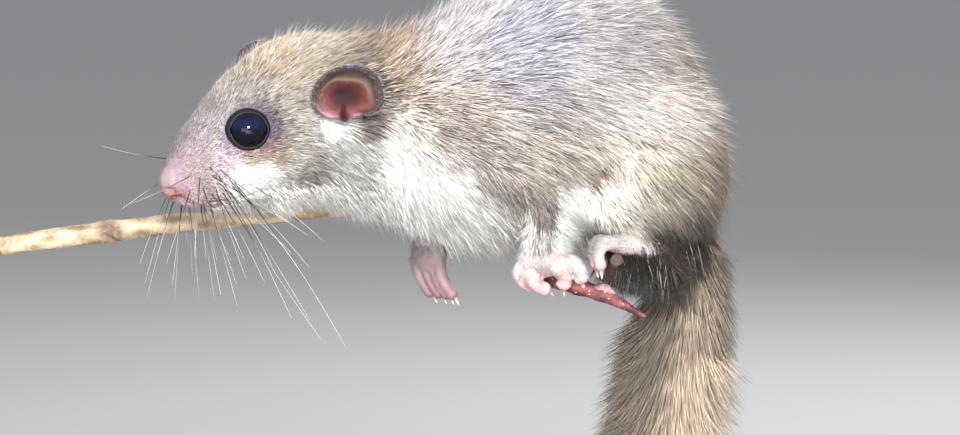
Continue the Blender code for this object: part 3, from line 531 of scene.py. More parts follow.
# %% Solids of the skin, sizes of the tail
FLESH = ["head", "jaw", "neck", "torso", "arm_upper_left", "arm_upper_right", "forearm_left",
         "forearm_right", "thigh_left", "thigh_right", "shank_left", "shank_right"]
TAIL_AXIS = np.array([
    (44.0, -1.0, 0.0), (44.2, -1.4, -14.0), (42.0, -1.5, -28.0), (39.2, -1.0, -46.0),
    (38.6, 0.0, -64.0), (38.6, 1.0, -82.0), (40.6, 2.0, -98.0), (43.6, 2.8, -111.0), (45.4, 3.2, -118.0)])
TAIL_SHARES = [0.0, 0.12, 0.24, 0.38, 0.53, 0.69, 0.83, 0.94, 1.0]
TAIL_REACH = [7.8, 9.6, 13.6, 16.6, 17.4, 17.2, 15.0, 10.4, 6.0]
TAIL_CORE = [4.6, 4.2, 3.8, 3.5, 3.2, 2.8, 2.3, 1.7, 0.9]
TAIL_DEPTH_SHARE = 0.78
SKIN_VOXEL, MUZZLE_VOXEL, PAW_VOXEL = 0.00062, 0.0002, 0.00024
SOCKET_REACH = 0.0042


# %% Tubes and smooth curves
def tube(places, radii, sides):
    """Points and quads of a round tube through the places, closed at both ends."""
    places = np.asarray(places, float)
    along = np.gradient(places, axis=0)
    along /= np.linalg.norm(along, axis=1, keepdims=True)
    across = np.cross(along, [0.1, 0.9, 0.2])
    across /= np.linalg.norm(across, axis=1, keepdims=True)
    other = np.cross(along, across)
    angles = np.linspace(0, 2 * math.pi, sides, endpoint=False)
    ring = np.cos(angles)[None, :, None] * across[:, None] + np.sin(angles)[None, :, None] * other[:, None]
    points = (places[:, None] + ring * np.asarray(radii)[:, None, None]).reshape(-1, 3)
    i, k = np.meshgrid(np.arange(len(places) - 1), np.arange(sides), indexing="ij")
    a, b = i * sides + k, i * sides + (k + 1) % sides
    quads = np.stack([a, b, b + sides, a + sides], -1).reshape(-1, 4)
    first, last = len(points), len(points) + 1
    points = np.vstack([points, places[0], places[-1]])
    ends = len(places) * sides - sides
    k = np.arange(sides)
    caps = np.vstack([np.stack([np.full(sides, first), (k + 1) % sides, k], 1),
                      np.stack([np.full(sides, last), ends + k, ends + (k + 1) % sides], 1)])
    return points, quads, caps


def spline(rows, count):
    """Rows at even steps along a smooth curve through the given rows."""
    rows = np.asarray(rows, float)
    padded = np.vstack([2 * rows[0] - rows[1], rows, 2 * rows[-1] - rows[-2]])
    steps = np.linspace(0, len(rows) - 1, count)
    low = np.minimum(steps.astype(int), len(rows) - 2)
    t = (steps - low)[:, None]
    a, b, c, d = padded[low], padded[low + 1], padded[low + 2], padded[low + 3]
    return b + 0.5 * t * (c - a + t * (2 * a - 5 * b + 4 * c - d + t * (3 * (b - c) + d - a)))


# %% Smooth parts of a mesh
def relax(mesh, weights, rounds):
    """Moves each point towards the middle of its neighbours, by its own weight."""
    points = points_of(mesh)
    edges = np.empty(len(mesh.edges) * 2, np.int32)
    mesh.edges.foreach_get("vertices", edges)
    start, end = edges.reshape(-1, 2).T
    near, other = np.concatenate([start, end]), np.concatenate([end, start])
    count = np.bincount(near, minlength=len(points))[:, None]
    for _ in range(rounds):
        total = np.stack([np.bincount(near, points[other, i], len(points)) for i in range(3)], 1)
        points += weights * (total / count - points)
    set_points(mesh, points)


def relax_trunk(mesh):
    """Evens out the creases between neck, shoulder and trunk; head and legs stay as they are."""
    place = trunk_measures(points_of(mesh))
    above = np.clip((place[:, 2:] + 1) / 6, 0, 1)
    relax(mesh, 0.5 * np.clip((place[:, :1] + 30) / 8, 0, 1) * above, 40)
    shoulder = 0.6 * np.exp(-(((place[:, :1] + 14) / 7) ** 4))
    relax(mesh, shoulder * np.clip((place[:, 2:] + 6) / 6, 0, 1), 260)
    relax(mesh, 0.6 * np.clip((place[:, :1] - 20) / 8, 0, 1) * np.clip((place[:, 2:] - 14) / 8, 0, 1), 160)


def open_eyes(mesh):
    """Evens out the rims of the eye sockets and keeps them clear of the eyeballs."""
    for side in (1, -1):
        centre, axis = np.array(eye_centre(side)), np.array(eye_axes(side).col[2])
        apart = np.linalg.norm(points_of(mesh) - centre, axis=1, keepdims=True) / MM
        relax(mesh, 0.6 * np.exp(-(((apart - 5.0) / 1.1) ** 4)), 40)
        offset = points_of(mesh) - centre
        height = (offset @ axis)[:, None]
        flat = offset - height * axis
        reach = np.maximum(np.linalg.norm(flat, axis=1, keepdims=True), 0.0004)
        over = (height > 0) & (reach < SOCKET_REACH) & (np.linalg.norm(offset, axis=1, keepdims=True) < 0.006)
        set_points(mesh, centre + height * axis + flat * np.where(over, SOCKET_REACH / reach, 1.0))


# %% Build the skin
def build_skin():
    """The flesh solids and the tail's core as one surface, sunk by the depth of the coat."""
    flesh = joined_copy(FLESH, 0.00022)
    axis = np.array([tuple(body(*p)) for p in spline(TAIL_AXIS, 40)])
    core = np.interp(np.linspace(0, 1, 40), TAIL_SHARES, TAIL_CORE) * MM
    core_mesh = mesh_from_arrays("tail core", *tube(axis, core + 0.001, 16))
    shape = bmesh.new()
    shape.from_mesh(flesh)
    shape.from_mesh(core_mesh)
    shape.to_mesh(flesh)
    shape.free()
    skin = remeshed(flesh, SKIN_VOXEL, 10, "skin")
    relax_trunk(skin)
    points, normals = points_of(skin), normals_of(skin)
    depth = blend_guides(points)[1][:, 1]
    on_tail = points[:, 2] < TRUNK_MIDDLE.z - 0.016
    depth = np.where(on_tail & (points[:, 0] > 0.015), 0.0009, depth)
    points -= normals * (depth + 0.0002)[:, None]
    set_points(skin, points)
    open_eyes(skin)
    return skin


skin_mesh = build_skin()
print("skin", len(skin_mesh.polygons), "faces")

# %% [markdown]
# The mouth is a shallow groove: points near its line sink in and turn dark, as painted shade
# in the groove. The line is given from the front of the lip back to the corner, on both sides
# of the face.

# %% Line of the mouth
MOUTH_LINE = [(3.5, 0.0, 5.9), (4.6, 2.4, 5.5), (7.4, 5.9, 5.3), (11.4, 6.9, 5.8), (15.6, 8.8, 7.0),
              (18.2, 10.1, 8.0)]


def line_distance(points, rows):
    """How far each point is from a line on both sides, given in the head's own measures."""
    nearest = np.full(len(points), 1.0)
    for side in (1, -1):
        line = [np.array(head(b, side * s, h)) for b, s, h in rows]
        for start, end in zip(line, line[1:]):
            along = end - start
            share = np.clip(((points - start) @ along) / (along @ along), 0, 1)
            nearest = np.minimum(nearest, np.linalg.norm(points - start - share[:, None] * along, axis=1))
    return nearest


# %% Places of the ears
EAR_PLACES = {1: (34.6, 18.5, 28.6), -1: (33.9, 18.8, 29.2)}
EAR_TURNS = {1: math.radians(32.0), -1: math.radians(14.0)}
EAR_LEAN = math.radians(8.0)


def ear_axes(side):
    """Outward, along and upright axes of an ear."""
    outward = LEFTWARD * side * math.cos(EAR_TURNS[side]) + FORWARD * math.sin(EAR_TURNS[side])
    outward = (outward * math.cos(EAR_LEAN) + HEAD_UP * math.sin(EAR_LEAN)).normalized()
    along = HEAD_UP.cross(outward).normalized()
    return outward, along, outward.cross(along)


def ear_place(side):
    """The middle of an ear."""
    behind, sideways, height = EAR_PLACES[side]
    return np.array(head(behind, side * sideways, height))


def ear_measures(points, side):
    """How far each point is outward, along and upright from an ear's middle."""
    outward, along, upright = (np.array(axis) for axis in ear_axes(side))
    offset = points - ear_place(side)
    return offset @ outward, offset @ along, offset @ upright


# %% Finish the skin
def finish_skin(mesh):
    """Presses in the mouth, sinks the skin under muzzle and ears, and paints it."""
    behind = (points_of(mesh) - np.array(head(0, 0, 0))) @ np.array(BACK) / MM
    relax(mesh, 0.6 * np.clip((6.2 - behind) / 1.2, 0, 1)[:, None], 50)
    points, normals = points_of(mesh), normals_of(mesh)
    distance = line_distance(points, MOUTH_LINE)
    groove, lip = bump_at(distance, 0, 0.0005), bump_at(distance, 0.0009, 0.0005)
    points += normals * (lip * 0.00018 - groove * 0.0009)[:, None]
    points -= normals * (0.0009 * np.clip((5.4 - behind) / 1.2, 0, 1))[:, None]
    for side in (1, -1):
        outward, along, upright = ear_measures(points, side)
        under = np.clip((0.0066 - np.hypot(along, upright)) / 0.0022, 0, 1)
        points -= np.array(ear_axes(side)[0]) * (0.0026 * under * (np.abs(outward) < 0.007))[:, None]
    set_points(mesh, points)
    # Painted shade: the skin is coloured darker than the coat, for the shade in the gaps between tufts, and
    # less so on the face, where the hair is short.
    face = np.clip((44 - behind) / 26, 0, 1)[:, None]
    colours = paint(points) * (0.36 + 0.26 * face)
    colours = blend(colours, linear(206, 130, 124), 0.75 * np.clip(lip + groove, 0, 1))
    # Painted shade: the mouth's groove is darkened.
    colours = blend(colours, linear(84, 38, 40), 0.8 * groove)
    apart = np.linalg.norm(points - np.array(head(5.0, 0.0, 9.0)), axis=1)
    colour_points(mesh, blend(colours, linear(150, 116, 124), 0.8 * bump_at(apart, 0, 0.0075)))


finish_skin(skin_mesh)
bpy.context.view_layer.update()
skin = add_piece("skin", skin_mesh, skin_finish)
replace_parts(skin, *FLESH)
print("skin stands for", len(FLESH), "solids")

# %% [markdown]
# ## Room for each tuft's colour
#
# When the model is exported, each surface keeps its colour in a flat picture. The skin is
# unwrapped, and every tuft later gets a tiny patch of that unwrap at its root, so coat and
# skin colours stay in step.


# %% Unwrap the skin
def unwrap(obj):
    """Lays a piece's surface out flat, in a UV map for the export's colour picture."""
    bpy.ops.object.select_all(action="DESELECT")
    obj.select_set(True)
    bpy.context.view_layer.objects.active = obj
    bpy.ops.object.mode_set(mode="EDIT")
    bpy.ops.mesh.select_all(action="SELECT")
    bpy.ops.uv.smart_project(angle_limit=math.radians(60), island_margin=0.002)
    bpy.ops.object.mode_set(mode="OBJECT")
    obj.data.uv_layers[0].name = "OFBake"


unwrap(skin)
print("unwrapped")


# %% Triangles of the skin, for planting tufts
class Ground:
    """The triangles of a surface, with what a tuft needs to know at any point of them."""

    def __init__(self, mesh):
        mesh.calc_loop_triangles()
        count = len(mesh.loop_triangles)
        self.corners = np.empty(count * 3, np.int32)
        mesh.loop_triangles.foreach_get("vertices", self.corners)
        self.corners = self.corners.reshape(-1, 3)
        loops = np.empty(count * 3, np.int32)
        mesh.loop_triangles.foreach_get("loops", loops)
        self.points, self.normals = points_of(mesh), normals_of(mesh)
        uv = np.empty(len(mesh.loops) * 2, np.float32)
        mesh.uv_layers["OFBake"].uv.foreach_get("vector", uv)
        self.uv = uv.reshape(-1, 2)[loops.reshape(-1, 3)]
        a, b, c = (self.points[self.corners[:, i]] for i in range(3))
        self.areas = np.linalg.norm(np.cross(b - a, c - a), axis=1) / 2
        self.middles = (a + b + c) / 3

    def plant(self, density, per_square_mm):
        """Random roots: places, normals and unwrap places, in proportion to area and density."""
        weights = self.areas * density
        count = int(weights.sum() * 1e6 * per_square_mm)
        chosen = chance.choice(len(weights), size=count, p=weights / weights.sum())
        u, v = chance.random(count), chance.random(count)
        flip = u + v > 1
        u[flip], v[flip] = 1 - u[flip], 1 - v[flip]
        shares = np.stack([1 - u - v, u, v], 1)
        corners = self.corners[chosen]
        places = (self.points[corners] * shares[..., None]).sum(1)
        normals = (self.normals[corners] * shares[..., None]).sum(1)
        normals /= np.linalg.norm(normals, axis=1, keepdims=True)
        return places, normals, (self.uv[chosen] * shares[..., None]).sum(1)


ground = Ground(skin_mesh)

# %% [markdown]
# ## Tufts
#
# One tuft is a thin three-sided blade that leaves the skin and ends in a point. There are
# very many of them, so each has few triangles: a short tuft is a spike of four, and a long
# one is a spindle of six that bends over. A tuft is dark below and paler at its tip, partly
# the hair's own colour, partly painted shade deep in the coat and painted highlight at the
# tips, and some are dark all along, which gives the speckled look of wild fur.


# %% One way to make every tuft
def unit(vectors):
    """The vectors at length one."""
    return vectors / np.maximum(np.linalg.norm(vectors, axis=-1, keepdims=True), 1e-12)


SPINDLE = np.array([(0, 2, 1), (0, 3, 2), (0, 1, 3), (4, 1, 2), (4, 2, 3), (4, 3, 1)])
SPIKE = np.array([(0, 1, 2), (3, 1, 0), (3, 2, 1), (3, 0, 2)])
SPINDLE_PATCH = np.array([(0, -1), (-1, 0), (1, 0), (0, 0.3), (0, 1)]) * 0.0014
SPIKE_PATCH = np.array([(-1, -1), (1, -1), (0, 0), (0, 1)]) * 0.0014
BELLY_SHARE = 0.42


def tuft_mesh(name, roots, normals, ways, lengths, lifts, widths, shades, uv, bend=0.5, spikes=False):
    """A mesh of tufts; lifts says how high each tip stands over the skin."""
    ways = unit(ways - normals * (ways * normals).sum(1, keepdims=True))
    across = np.cross(normals, ways)
    lift = np.minimum(lifts, lengths * 0.9)[:, None]
    reach = np.sqrt(lengths[:, None] ** 2 - lift ** 2)
    half = widths[:, None] / 2
    tip = roots + ways * reach + normals * lift
    base = roots - normals * 0.0002
    up = unit(np.cross(unit(tip - base), across))
    up = np.where((up * normals).sum(1, keepdims=True) < 0, -up, up)
    if spikes:
        points = np.stack([base - across * half, base + across * half, base + up * half * 1.2, tip], 1)
        faces, patch, tones = SPIKE, SPIKE_PATCH, [shades[1] * 0.8] * 3 + [shades[2]]
    else:
        share = BELLY_SHARE
        centre = roots + ways * reach * share + normals * lift * (share + bend * share * (1 - share))
        ring = [centre - across * half, centre + across * half, centre + up * half * 0.9]
        points = np.stack([base, *ring, tip], 1)
        faces, patch, tones = SPINDLE, SPINDLE_PATCH, [shades[0]] + [shades[1]] * 3 + [shades[2]]
    first = points[0][faces]
    if np.einsum("ij,ij->i", first[:, 0], np.cross(first[:, 1], first[:, 2])).sum() < 0:
        faces = faces[:, ::-1]
    size = points.shape[1]
    triangles = (faces[None] + (np.arange(len(roots)) * size)[:, None, None]).reshape(-1, 3)
    mesh = mesh_from_arrays(name, points.reshape(-1, 3), None, triangles)
    colour_points(mesh, np.clip(np.stack(tones, 1).reshape(-1, 3), 0, 1))
    corner_uv = (uv[:, None] + patch[None]).reshape(-1, 2)[triangles.ravel()]
    layer = mesh.uv_layers.new(name="OFBake")
    layer.uv.foreach_set("vector", corner_uv.astype(np.float32).ravel())
    return mesh


def shades_of(colours, spread, dark_share, root=0.2, tip=1.7):
    """Root, middle and tip colours, with some dark guard hairs among the pale ones. The dark root is partly
    painted shade deep in the coat, and the bright tip partly a painted highlight.
    """
    tone = 1 + chance.normal(0, spread, (len(colours), 1))
    bright = colours.mean(1, keepdims=True)
    dark = chance.random((len(colours), 1)) < dark_share * np.clip(1.6 - 1.4 * bright, 0.15, 1)
    whole = colours * tone
    middle = np.where(dark, whole * 0.34, whole * 0.86)
    ends = np.where(dark, whole * 0.5, whole * tip + 0.03)
    return whole * root, middle, ends


print("a spike has", len(SPIKE), "triangles, a spindle", len(SPINDLE))

# %% [markdown]
# ## The coat of head, trunk and legs
#
# Roots are spread over the skin in proportion to its area, more densely on the face, where
# the hairs are finest. None grows inside the rims of the eyes, on the nose or in the mouth.
# The coat is made in several pieces, so that each stays light enough.

# %% Bare places
BARE_EYE, BARE_EAR, BARE_NOSE, BARE_LIP = 0.00465, 0.0057, 0.0036, 0.00035
eye_centres = [np.array(head(EYE_PLACE[0], side * EYE_PLACE[1], EYE_PLACE[2])) for side in (1, -1)]


def bare(points):
    """True where no fur grows: eyes, nose pad, lips and the bowls of the ears."""
    result = np.zeros(len(points), bool)
    for centre in eye_centres:
        result |= np.linalg.norm(points - centre, axis=1) < BARE_EYE
    for side in (1, -1):
        outward, along, upright = ear_measures(points, side)
        result |= (np.hypot(along, upright - 0.0008) < BARE_EAR) & (np.abs(outward) < 0.011)
    result |= np.linalg.norm(points - np.array(head(1.6, 0.0, 9.2)), axis=1) < BARE_NOSE
    return result | (line_distance(points, MOUTH_LINE) < BARE_LIP)


def near_openings(points):
    """One over most of the coat, less round the eyes and before the ears, where hair stays short."""
    share = np.ones(len(points))
    for centre in eye_centres:
        share *= np.clip((np.linalg.norm(points - centre, axis=1) - 0.0036) / 0.0034, 0.35, 1)
    for side in (1, -1):
        outward, along, upright = ear_measures(points, side)
        back, up = along * side / MM, upright / MM
        near = np.clip((12.5 - np.hypot(back, up)) / 3.0, 0, 1) * np.clip(0.2 - back / 3, 0, 1)
        near *= np.clip((5.0 - np.abs(up)) / 2, 0, 1)
        share *= 1 - 0.5 * near * (np.abs(outward) < 0.02)
    return share


def on_tail(points):
    """True on the tail's core, which the brush covers."""
    return (points[:, 2] < TRUNK_MIDDLE.z - 0.0125) & (points[:, 0] > 0.012) & (np.abs(points[:, 1]) < 0.02)


# %% Plant the coat
def coat(name, choose, per_square_mm, width, dark_share, spread=0.44, guard=0.07):
    """Grows one piece of the coat where choose(points) is above zero; guard hairs stand out."""
    density = choose(ground.middles) * ~bare(ground.middles) * ~on_tail(ground.middles)
    roots, normals, uv = ground.plant(density, per_square_mm)
    count = len(roots)
    ways, sizes, _ = blend_guides(roots)
    ways = unit(ways)
    turn = 0.14 * waves(roots, 0.0045, 21) + 0.1 * waves(roots, 0.0018, 24)
    turn = turn + 0.1 * chance.normal(size=count)
    ways = ways + np.cross(normals, ways) * turn[:, None]
    guards = chance.random(count) < guard
    openness = near_openings(roots)
    lengths = sizes[:, 0] * chance.uniform(0.7, 1.2, count) * np.where(guards, 1.3, 1.0) * openness
    lifts = openness * sizes[:, 1] * chance.uniform(0.7, 1.15, count) * (1 + 0.2 * waves(roots, 0.003, 22))
    lifts *= np.where(guards, 2.4, 1.0)
    widths = width * chance.uniform(0.75, 1.25, count) * np.where(guards, 0.6, 1.0)
    offset = roots - np.array(TRUNK_MIDDLE)
    streaks = offset - 0.8 * ways * (offset * ways).sum(1, keepdims=True)
    clump = 0.1 * waves(roots, 0.0022, 23) + 0.16 * waves(streaks, 0.0008, 25)
    clump = 1 + (clump + 0.12 * waves(streaks, 0.0017, 26))[:, None]
    shades = shades_of(paint(roots) * clump, spread, dark_share)
    mesh = tuft_mesh(name, roots, normals, ways, lengths, lifts, widths, shades, uv, spikes=True)
    add_piece(name, mesh, coat_finish)
    print(name, count, "tufts")


def in_head(points, low, high):
    """One between two distances behind the nose tip, else nothing."""
    behind = (points - np.array(head(0, 0, 0))) @ np.array(BACK)
    return ((behind > low * MM) & (behind <= high * MM) & (points[:, 2] > 0.14)).astype(float)


def trunk_between(low, high):
    """Chooses the part of the trunk between two places along it, behind the head."""

    def choose(points):
        x = (points[:, 0] - TRUNK_MIDDLE.x) / MM
        return (1 - in_head(points, -9, 29)) * (x > low) * (x <= high)

    return choose


coat("coat_face", lambda p: in_head(p, 5.8, 18), 42.0, 0.00021, 0.28, 0.42, guard=0.02)
coat("coat_cheeks", lambda p: in_head(p, 18, 29), 24.0, 0.00022, 0.26, 0.44, guard=0.03)
coat("coat_nape", trunk_between(-60, -17), 13.0, 0.00024, 0.23)
coat("coat_shoulders", trunk_between(-17, -1), 12.5, 0.00024, 0.24)
coat("coat_flanks", trunk_between(-1, 13), 12.5, 0.00024, 0.24)
coat("coat_middle", trunk_between(13, 26), 12.5, 0.00024, 0.22)
coat("coat_haunches", trunk_between(26, 41), 12.2, 0.00024, 0.21)
coat("coat_rump", trunk_between(41, 60), 12.2, 0.00024, 0.22)

# %% [markdown]
# In some places the hair does not lie on the skin. Long hair with silver ends hangs from
# under the rump over the root of the tail, coloured near black as painted shade; pale
# fringes hang from forearm, belly and chin, and white fluff stands out below each ear. All of
# these go one way, whatever lies below.

# %% Loose hair
def loose_hair(name, density, per_square_mm, direction, low, high, width, colour, pale_share):
    """Hair that goes in one direction, whatever way the skin faces."""
    roots, normals, uv = ground.plant(density, per_square_mm)
    count = len(roots)
    ways = unit(np.array(direction, float) + 0.2 * chance.normal(size=(count, 3)))
    lengths = chance.uniform(low, high, count) * MM
    lifts = lengths * np.clip((ways * normals).sum(1), 0.1, 0.9)
    tint = linear(*colour) * (1 + chance.normal(0, 0.22, (count, 1)))
    ends = np.where(chance.random((count, 1)) < pale_share, linear(226, 218, 208), tint * 1.3)
    mesh = tuft_mesh(name, roots, normals, ways, lengths, lifts, width * chance.uniform(0.7, 1.2, count),
                     [tint * 0.6, tint, ends], uv, spikes=True)
    add_piece(name, mesh, coat_finish)
    print(name, count, "tufts")


def under_rump(points, normals):
    """How dense the hair under the rump is; its near-black colour is painted shade."""
    x, y, z = trunk_measures(points).T
    inside = (x > 27) & (x < 54) & (z < 1) & (z > -13) & (np.abs(y) < 25)
    share = inside * np.clip(0.5 - normals[:, 2], 0, 1) * np.clip((2 - z) / 6, 0, 1)
    return share * np.clip(1 + 0.7 * waves(points, 0.006, 34), 0.1, 2)


# %% Grow the loose hair
facing = ground.normals[ground.corners].mean(1)
# Painted shade: the hair under the rump is coloured near black.
loose_hair("coat_under_rump", under_rump(ground.middles, facing), 17.0, (0.12, 0, -1.0), 6.5, 12.0,
           0.0003, (26, 18, 9), 0.08)
x, y, z = trunk_measures(ground.middles).T
behind_forearm = (x > 14.5) & (x < 23) & (y < -16) & (z > -5) & (z < 9) & (facing[:, 0] > -0.3)
loose_hair("coat_forearm_fringe", behind_forearm * 1.0, 20.0, (0.8, -0.2, -0.7), 2.6, 5.2,
           0.00022, (255, 252, 246), 0.0)
hanging = np.clip(-facing[:, 2] - 0.15, 0, 1)
belly = hanging * (x > -44) * (x < 27) * (z > -12) * (z < 9) * ~bare(ground.middles)
loose_hair("coat_belly_fringe", belly, 8.0, (0.65, 0, -0.76), 2.6, 5.6,
           0.00023, (250, 246, 240), 0.2)
chin = np.clip(-facing[:, 2] - 0.35, 0, 1) * in_head(ground.middles, 11, 32) * (z < 9)
loose_hair("coat_chin_fringe", chin, 22.0, BACK * 0.75 - UPWARD * 0.65, 1.4, 3.2,
           0.0002, (250, 246, 240), 0.2)
for side, name in SIDES:
    below_ear = np.linalg.norm(ground.middles - np.array(head(32.6, side * 14.2, 22.6)), axis=1) < 0.0027
    loose_hair(f"coat_fluff_{name}", below_ear * 1.0, 34.0, LEFTWARD * side * 0.6 - UPWARD * 0.8, 1.8, 3.4,
               0.0002, (255, 252, 250), 0.0)

# %% [markdown]
# ## The tail
#
# The tail is a brush: long hair grows from a thin core, outwards and towards the tip, and
# stands out more at the sides than in front and behind. Its tufts are longer and wider than
# those of the trunk, dark at the root and pale at the end, and end where the solids' locks do.
# The brush is painted darker at its base under the rump and on its side towards the head,
# as painted shade.


# %% Grow the brush of the tail
TAIL_POINTS = np.array([tuple(body(*p)) for p in spline(TAIL_AXIS, 200)])
TAIL_HAIR = ([0, 0.15, 0.85, 1], [0.009, 0.0165, 0.0175, 0.014])
TAIL_END = 0.0115
skin_tree = BVHTree.FromPolygons([tuple(p) for p in ground.points],
                                 [tuple(int(i) for i in c) for c in ground.corners])


def along_tail(share):
    """Places of the tail's axis at shares of its length."""
    steps = np.linspace(0, 1, len(TAIL_POINTS))
    return np.stack([np.interp(np.clip(share, 0, 1), steps, TAIL_POINTS[:, i]) for i in range(3)], 1)


def nearest_unwrap(points):
    """The unwrap place of the skin nearest to each point."""
    found = [skin_tree.find_nearest(Vector(point))[2] for point in points]
    return ground.uv[found].mean(1)


def tail_tufts(name, low, high, count):
    """Grows the brush between two shares of the tail's length."""
    share = chance.uniform(low, high, count)
    place = along_tail(share)
    along = unit(along_tail(share + 0.02) - along_tail(share - 0.02))
    sideways = unit(np.array([1.0, 0, 0]) - along * along[:, :1])
    deep = np.cross(along, sideways)
    angle = chance.uniform(0, 2 * math.pi, count)
    outward = sideways * np.cos(angle)[:, None] + deep * np.sin(angle)[:, None]
    core = np.interp(share, TAIL_SHARES, TAIL_CORE) * MM
    reach = np.interp(share + 0.1, TAIL_SHARES, TAIL_REACH) * MM
    reach *= 1 - (1 - TAIL_DEPTH_SHARE) * np.abs(np.sin(angle))
    roots = place + outward * (core * 0.8)[:, None]
    height = chance.random(count) ** 0.5
    lifts = (reach - core * 0.8) * (0.2 + 0.86 * height) * (1 + 0.12 * waves(roots, 0.007, 31))
    lengths = np.interp(share, *TAIL_HAIR) * chance.uniform(0.8, 1.12, count)
    lengths = np.maximum(lengths, lifts * 1.12)
    lengths = np.minimum(lengths, np.maximum((roots[:, 2] - TAIL_END) / -along[:, 2], lifts * 1.12))
    swirl = 0.14 * waves(roots, 0.006, 32) + 0.08 * chance.normal(size=count)
    ways = along + np.cross(outward, along) * swirl[:, None]
    edge = height[:, None]
    colours = linear(208, 188, 168) * (1 + 0.14 * waves(roots, 0.009, 33)[:, None])
    # Painted shade: the brush darkens towards its root, under the rump.
    colours = colours * np.interp(share, [0.0, 0.08, 0.24], [0.25, 0.4, 1.0])[:, None]
    tone = 1 + chance.normal(0, 0.1, (count, 1))
    # Painted shade: the side of the brush towards the head is darker.
    colours = colours * (0.34 + 0.76 * np.clip((np.cos(angle) + 0.45) / 0.6, 0, 1))[:, None]
    dark = (chance.random((count, 1)) < 0.14) * 0.5
    middle = colours * (0.42 + 0.4 * edge) * (1 - dark)
    ends = (colours * (0.7 + 0.55 * edge) + 0.02) * (1 - dark)
    shades = [shade * tone for shade in (colours * 0.26, middle, ends)]
    widths = chance.uniform(0.00028, 0.0005, count)
    uv = nearest_unwrap(roots)
    mesh = tuft_mesh(name, roots, outward, ways, lengths, lifts, widths, shades, uv, bend=0.25)
    piece = add_piece(name, mesh, coat_finish)
    print(name, count, "tufts")
    return piece


tail_pieces = [tail_tufts("tail_fur_base", 0.02, 0.36, 12500),
               tail_tufts("tail_fur_middle", 0.34, 0.7, 16000),
               tail_tufts("tail_fur_tip", 0.68, 1.0, 12000)]
for piece, node in zip(tail_pieces, ("tail_base", "tail_middle", "tail_tip")):
    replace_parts(piece, node)

# %% [markdown]
# ## Eyes
#
# The eye of a dormouse is large, black and wet. A smooth ball with a slightly bulging front
# gives the sharp highlight of a lamp. The lids are a ring whose section hugs the ball at
# the inside and sinks under the skin at the outside, so ball and fur meet without a gap.

# %% Eyes and lids
eye_finish = attribute_material("wet black eye", 0.04, Coat_Weight=0.1, Coat_Roughness=0.01,
                                Specular_IOR_Level=0.1)
lid_finish, lid_tree, lid_shader = new_material("dark moist lid", 0.5, Specular_IOR_Level=0.25)
lid_shader.inputs["Base Color"].default_value = (*linear(22, 18, 24), 1)
add_bump(lid_tree, lid_shader, 3000.0, 0.0001)
LID_SECTION = [(3.62, 1.85), (3.64, 2.04), (3.72, 2.1), (3.88, 2.06), (4.2, 1.82), (4.6, 1.4),
               (4.7, 0.7), (4.0, 0.1)]


def make_eye(side, name):
    """A dark ball with a bluish band above its middle, a painted reflection of the sky on a wet eye."""
    centre = eye_centre(side)
    shape = bmesh.new()
    bmesh.ops.create_uvsphere(shape, u_segments=48, v_segments=32, radius=EYE_RADIUS)
    axes = eye_axes(side)
    for vertex in shape.verts:
        bulge = 1 + 0.05 * max(0.0, vertex.co.z / EYE_RADIUS) ** 3
        vertex.co = centre + axes @ (vertex.co * bulge)
    mesh = finished(shape, f"eyeball_{name}")
    mesh.shade_smooth()
    # Painted reflection: a bluish band of sky above the eye's middle.
    height = (points_of(mesh) - np.array(centre)) @ np.array(HEAD_UP) / EYE_RADIUS
    colour_points(mesh, blend(linear(8, 7, 9), linear(18, 22, 46), bump_at(height, 0.42, 0.36)))
    eye = add_piece(f"eyeball_{name}", mesh, eye_finish)
    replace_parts(eye, f"eye_{name}")


# %% Lids
def ring_quads(around, across):
    """Quads between rows of points that close into a ring both ways."""
    i, k = np.meshgrid(np.arange(around), np.arange(across), indexing="ij")
    a, b = i * across + k, i * across + (k + 1) % across
    c, d = (i + 1) % around * across + (k + 1) % across, (i + 1) % around * across + k
    return np.stack([a, b, c, d], -1).reshape(-1, 4)


def make_lids(side, name):
    """Lids with a front corner a little more pointed than the back one."""
    centre, axes = eye_centre(side), eye_axes(side)
    forward = FORWARD.dot(axes.col[0])
    front = 0.0 if forward > 0 else math.pi
    points = []
    for i in range(72):
        angle = 2 * math.pi * i / 72
        apart = abs((angle - front + math.pi) % (2 * math.pi) - math.pi)
        corner = 0.32 * math.exp(-((apart / 0.22) ** 2))
        corner += 0.16 * math.exp(-(((math.pi - apart) / 0.25) ** 2))
        for k, (reach, height) in enumerate(LID_SECTION):
            wide = reach + corner * (1.0 if k < 4 else 0.3)
            place = Vector((wide * 1.02 * math.cos(angle), wide * 0.97 * math.sin(angle), height))
            points.append(tuple(centre + axes @ (place * MM)))
    mesh = mesh_from_arrays(f"lids_{name}", np.array(points), ring_quads(72, len(LID_SECTION)))
    outward_faces(mesh)
    add_piece(f"lids_{name}", mesh, lid_finish)


def outward_faces(mesh):
    """Turns all faces of a closed mesh outwards."""
    shape = bmesh.new()
    shape.from_mesh(mesh)
    bmesh.ops.recalc_face_normals(shape, faces=shape.faces)
    shape.to_mesh(mesh)
    shape.free()


for side, name in SIDES:
    make_eye(side, name)
    make_lids(side, name)
print("eyes and lids on both sides")

# %% [markdown]
# ## Ears
#
# Each ear is a thin bowl: wide and round behind, narrower in front, with a notch at the
# bottom between two small lobes. Its surface is a rule. For each turn and each distance from
# the middle the rule says how far the skin stands out and what colour it has, from maroon in
# the middle over a tan ridge to the dark velvet of the rim. The maroon darkens towards the
# middle of the bowl, partly as painted shade in the hollow, and the notch is painted dark as
# shade.

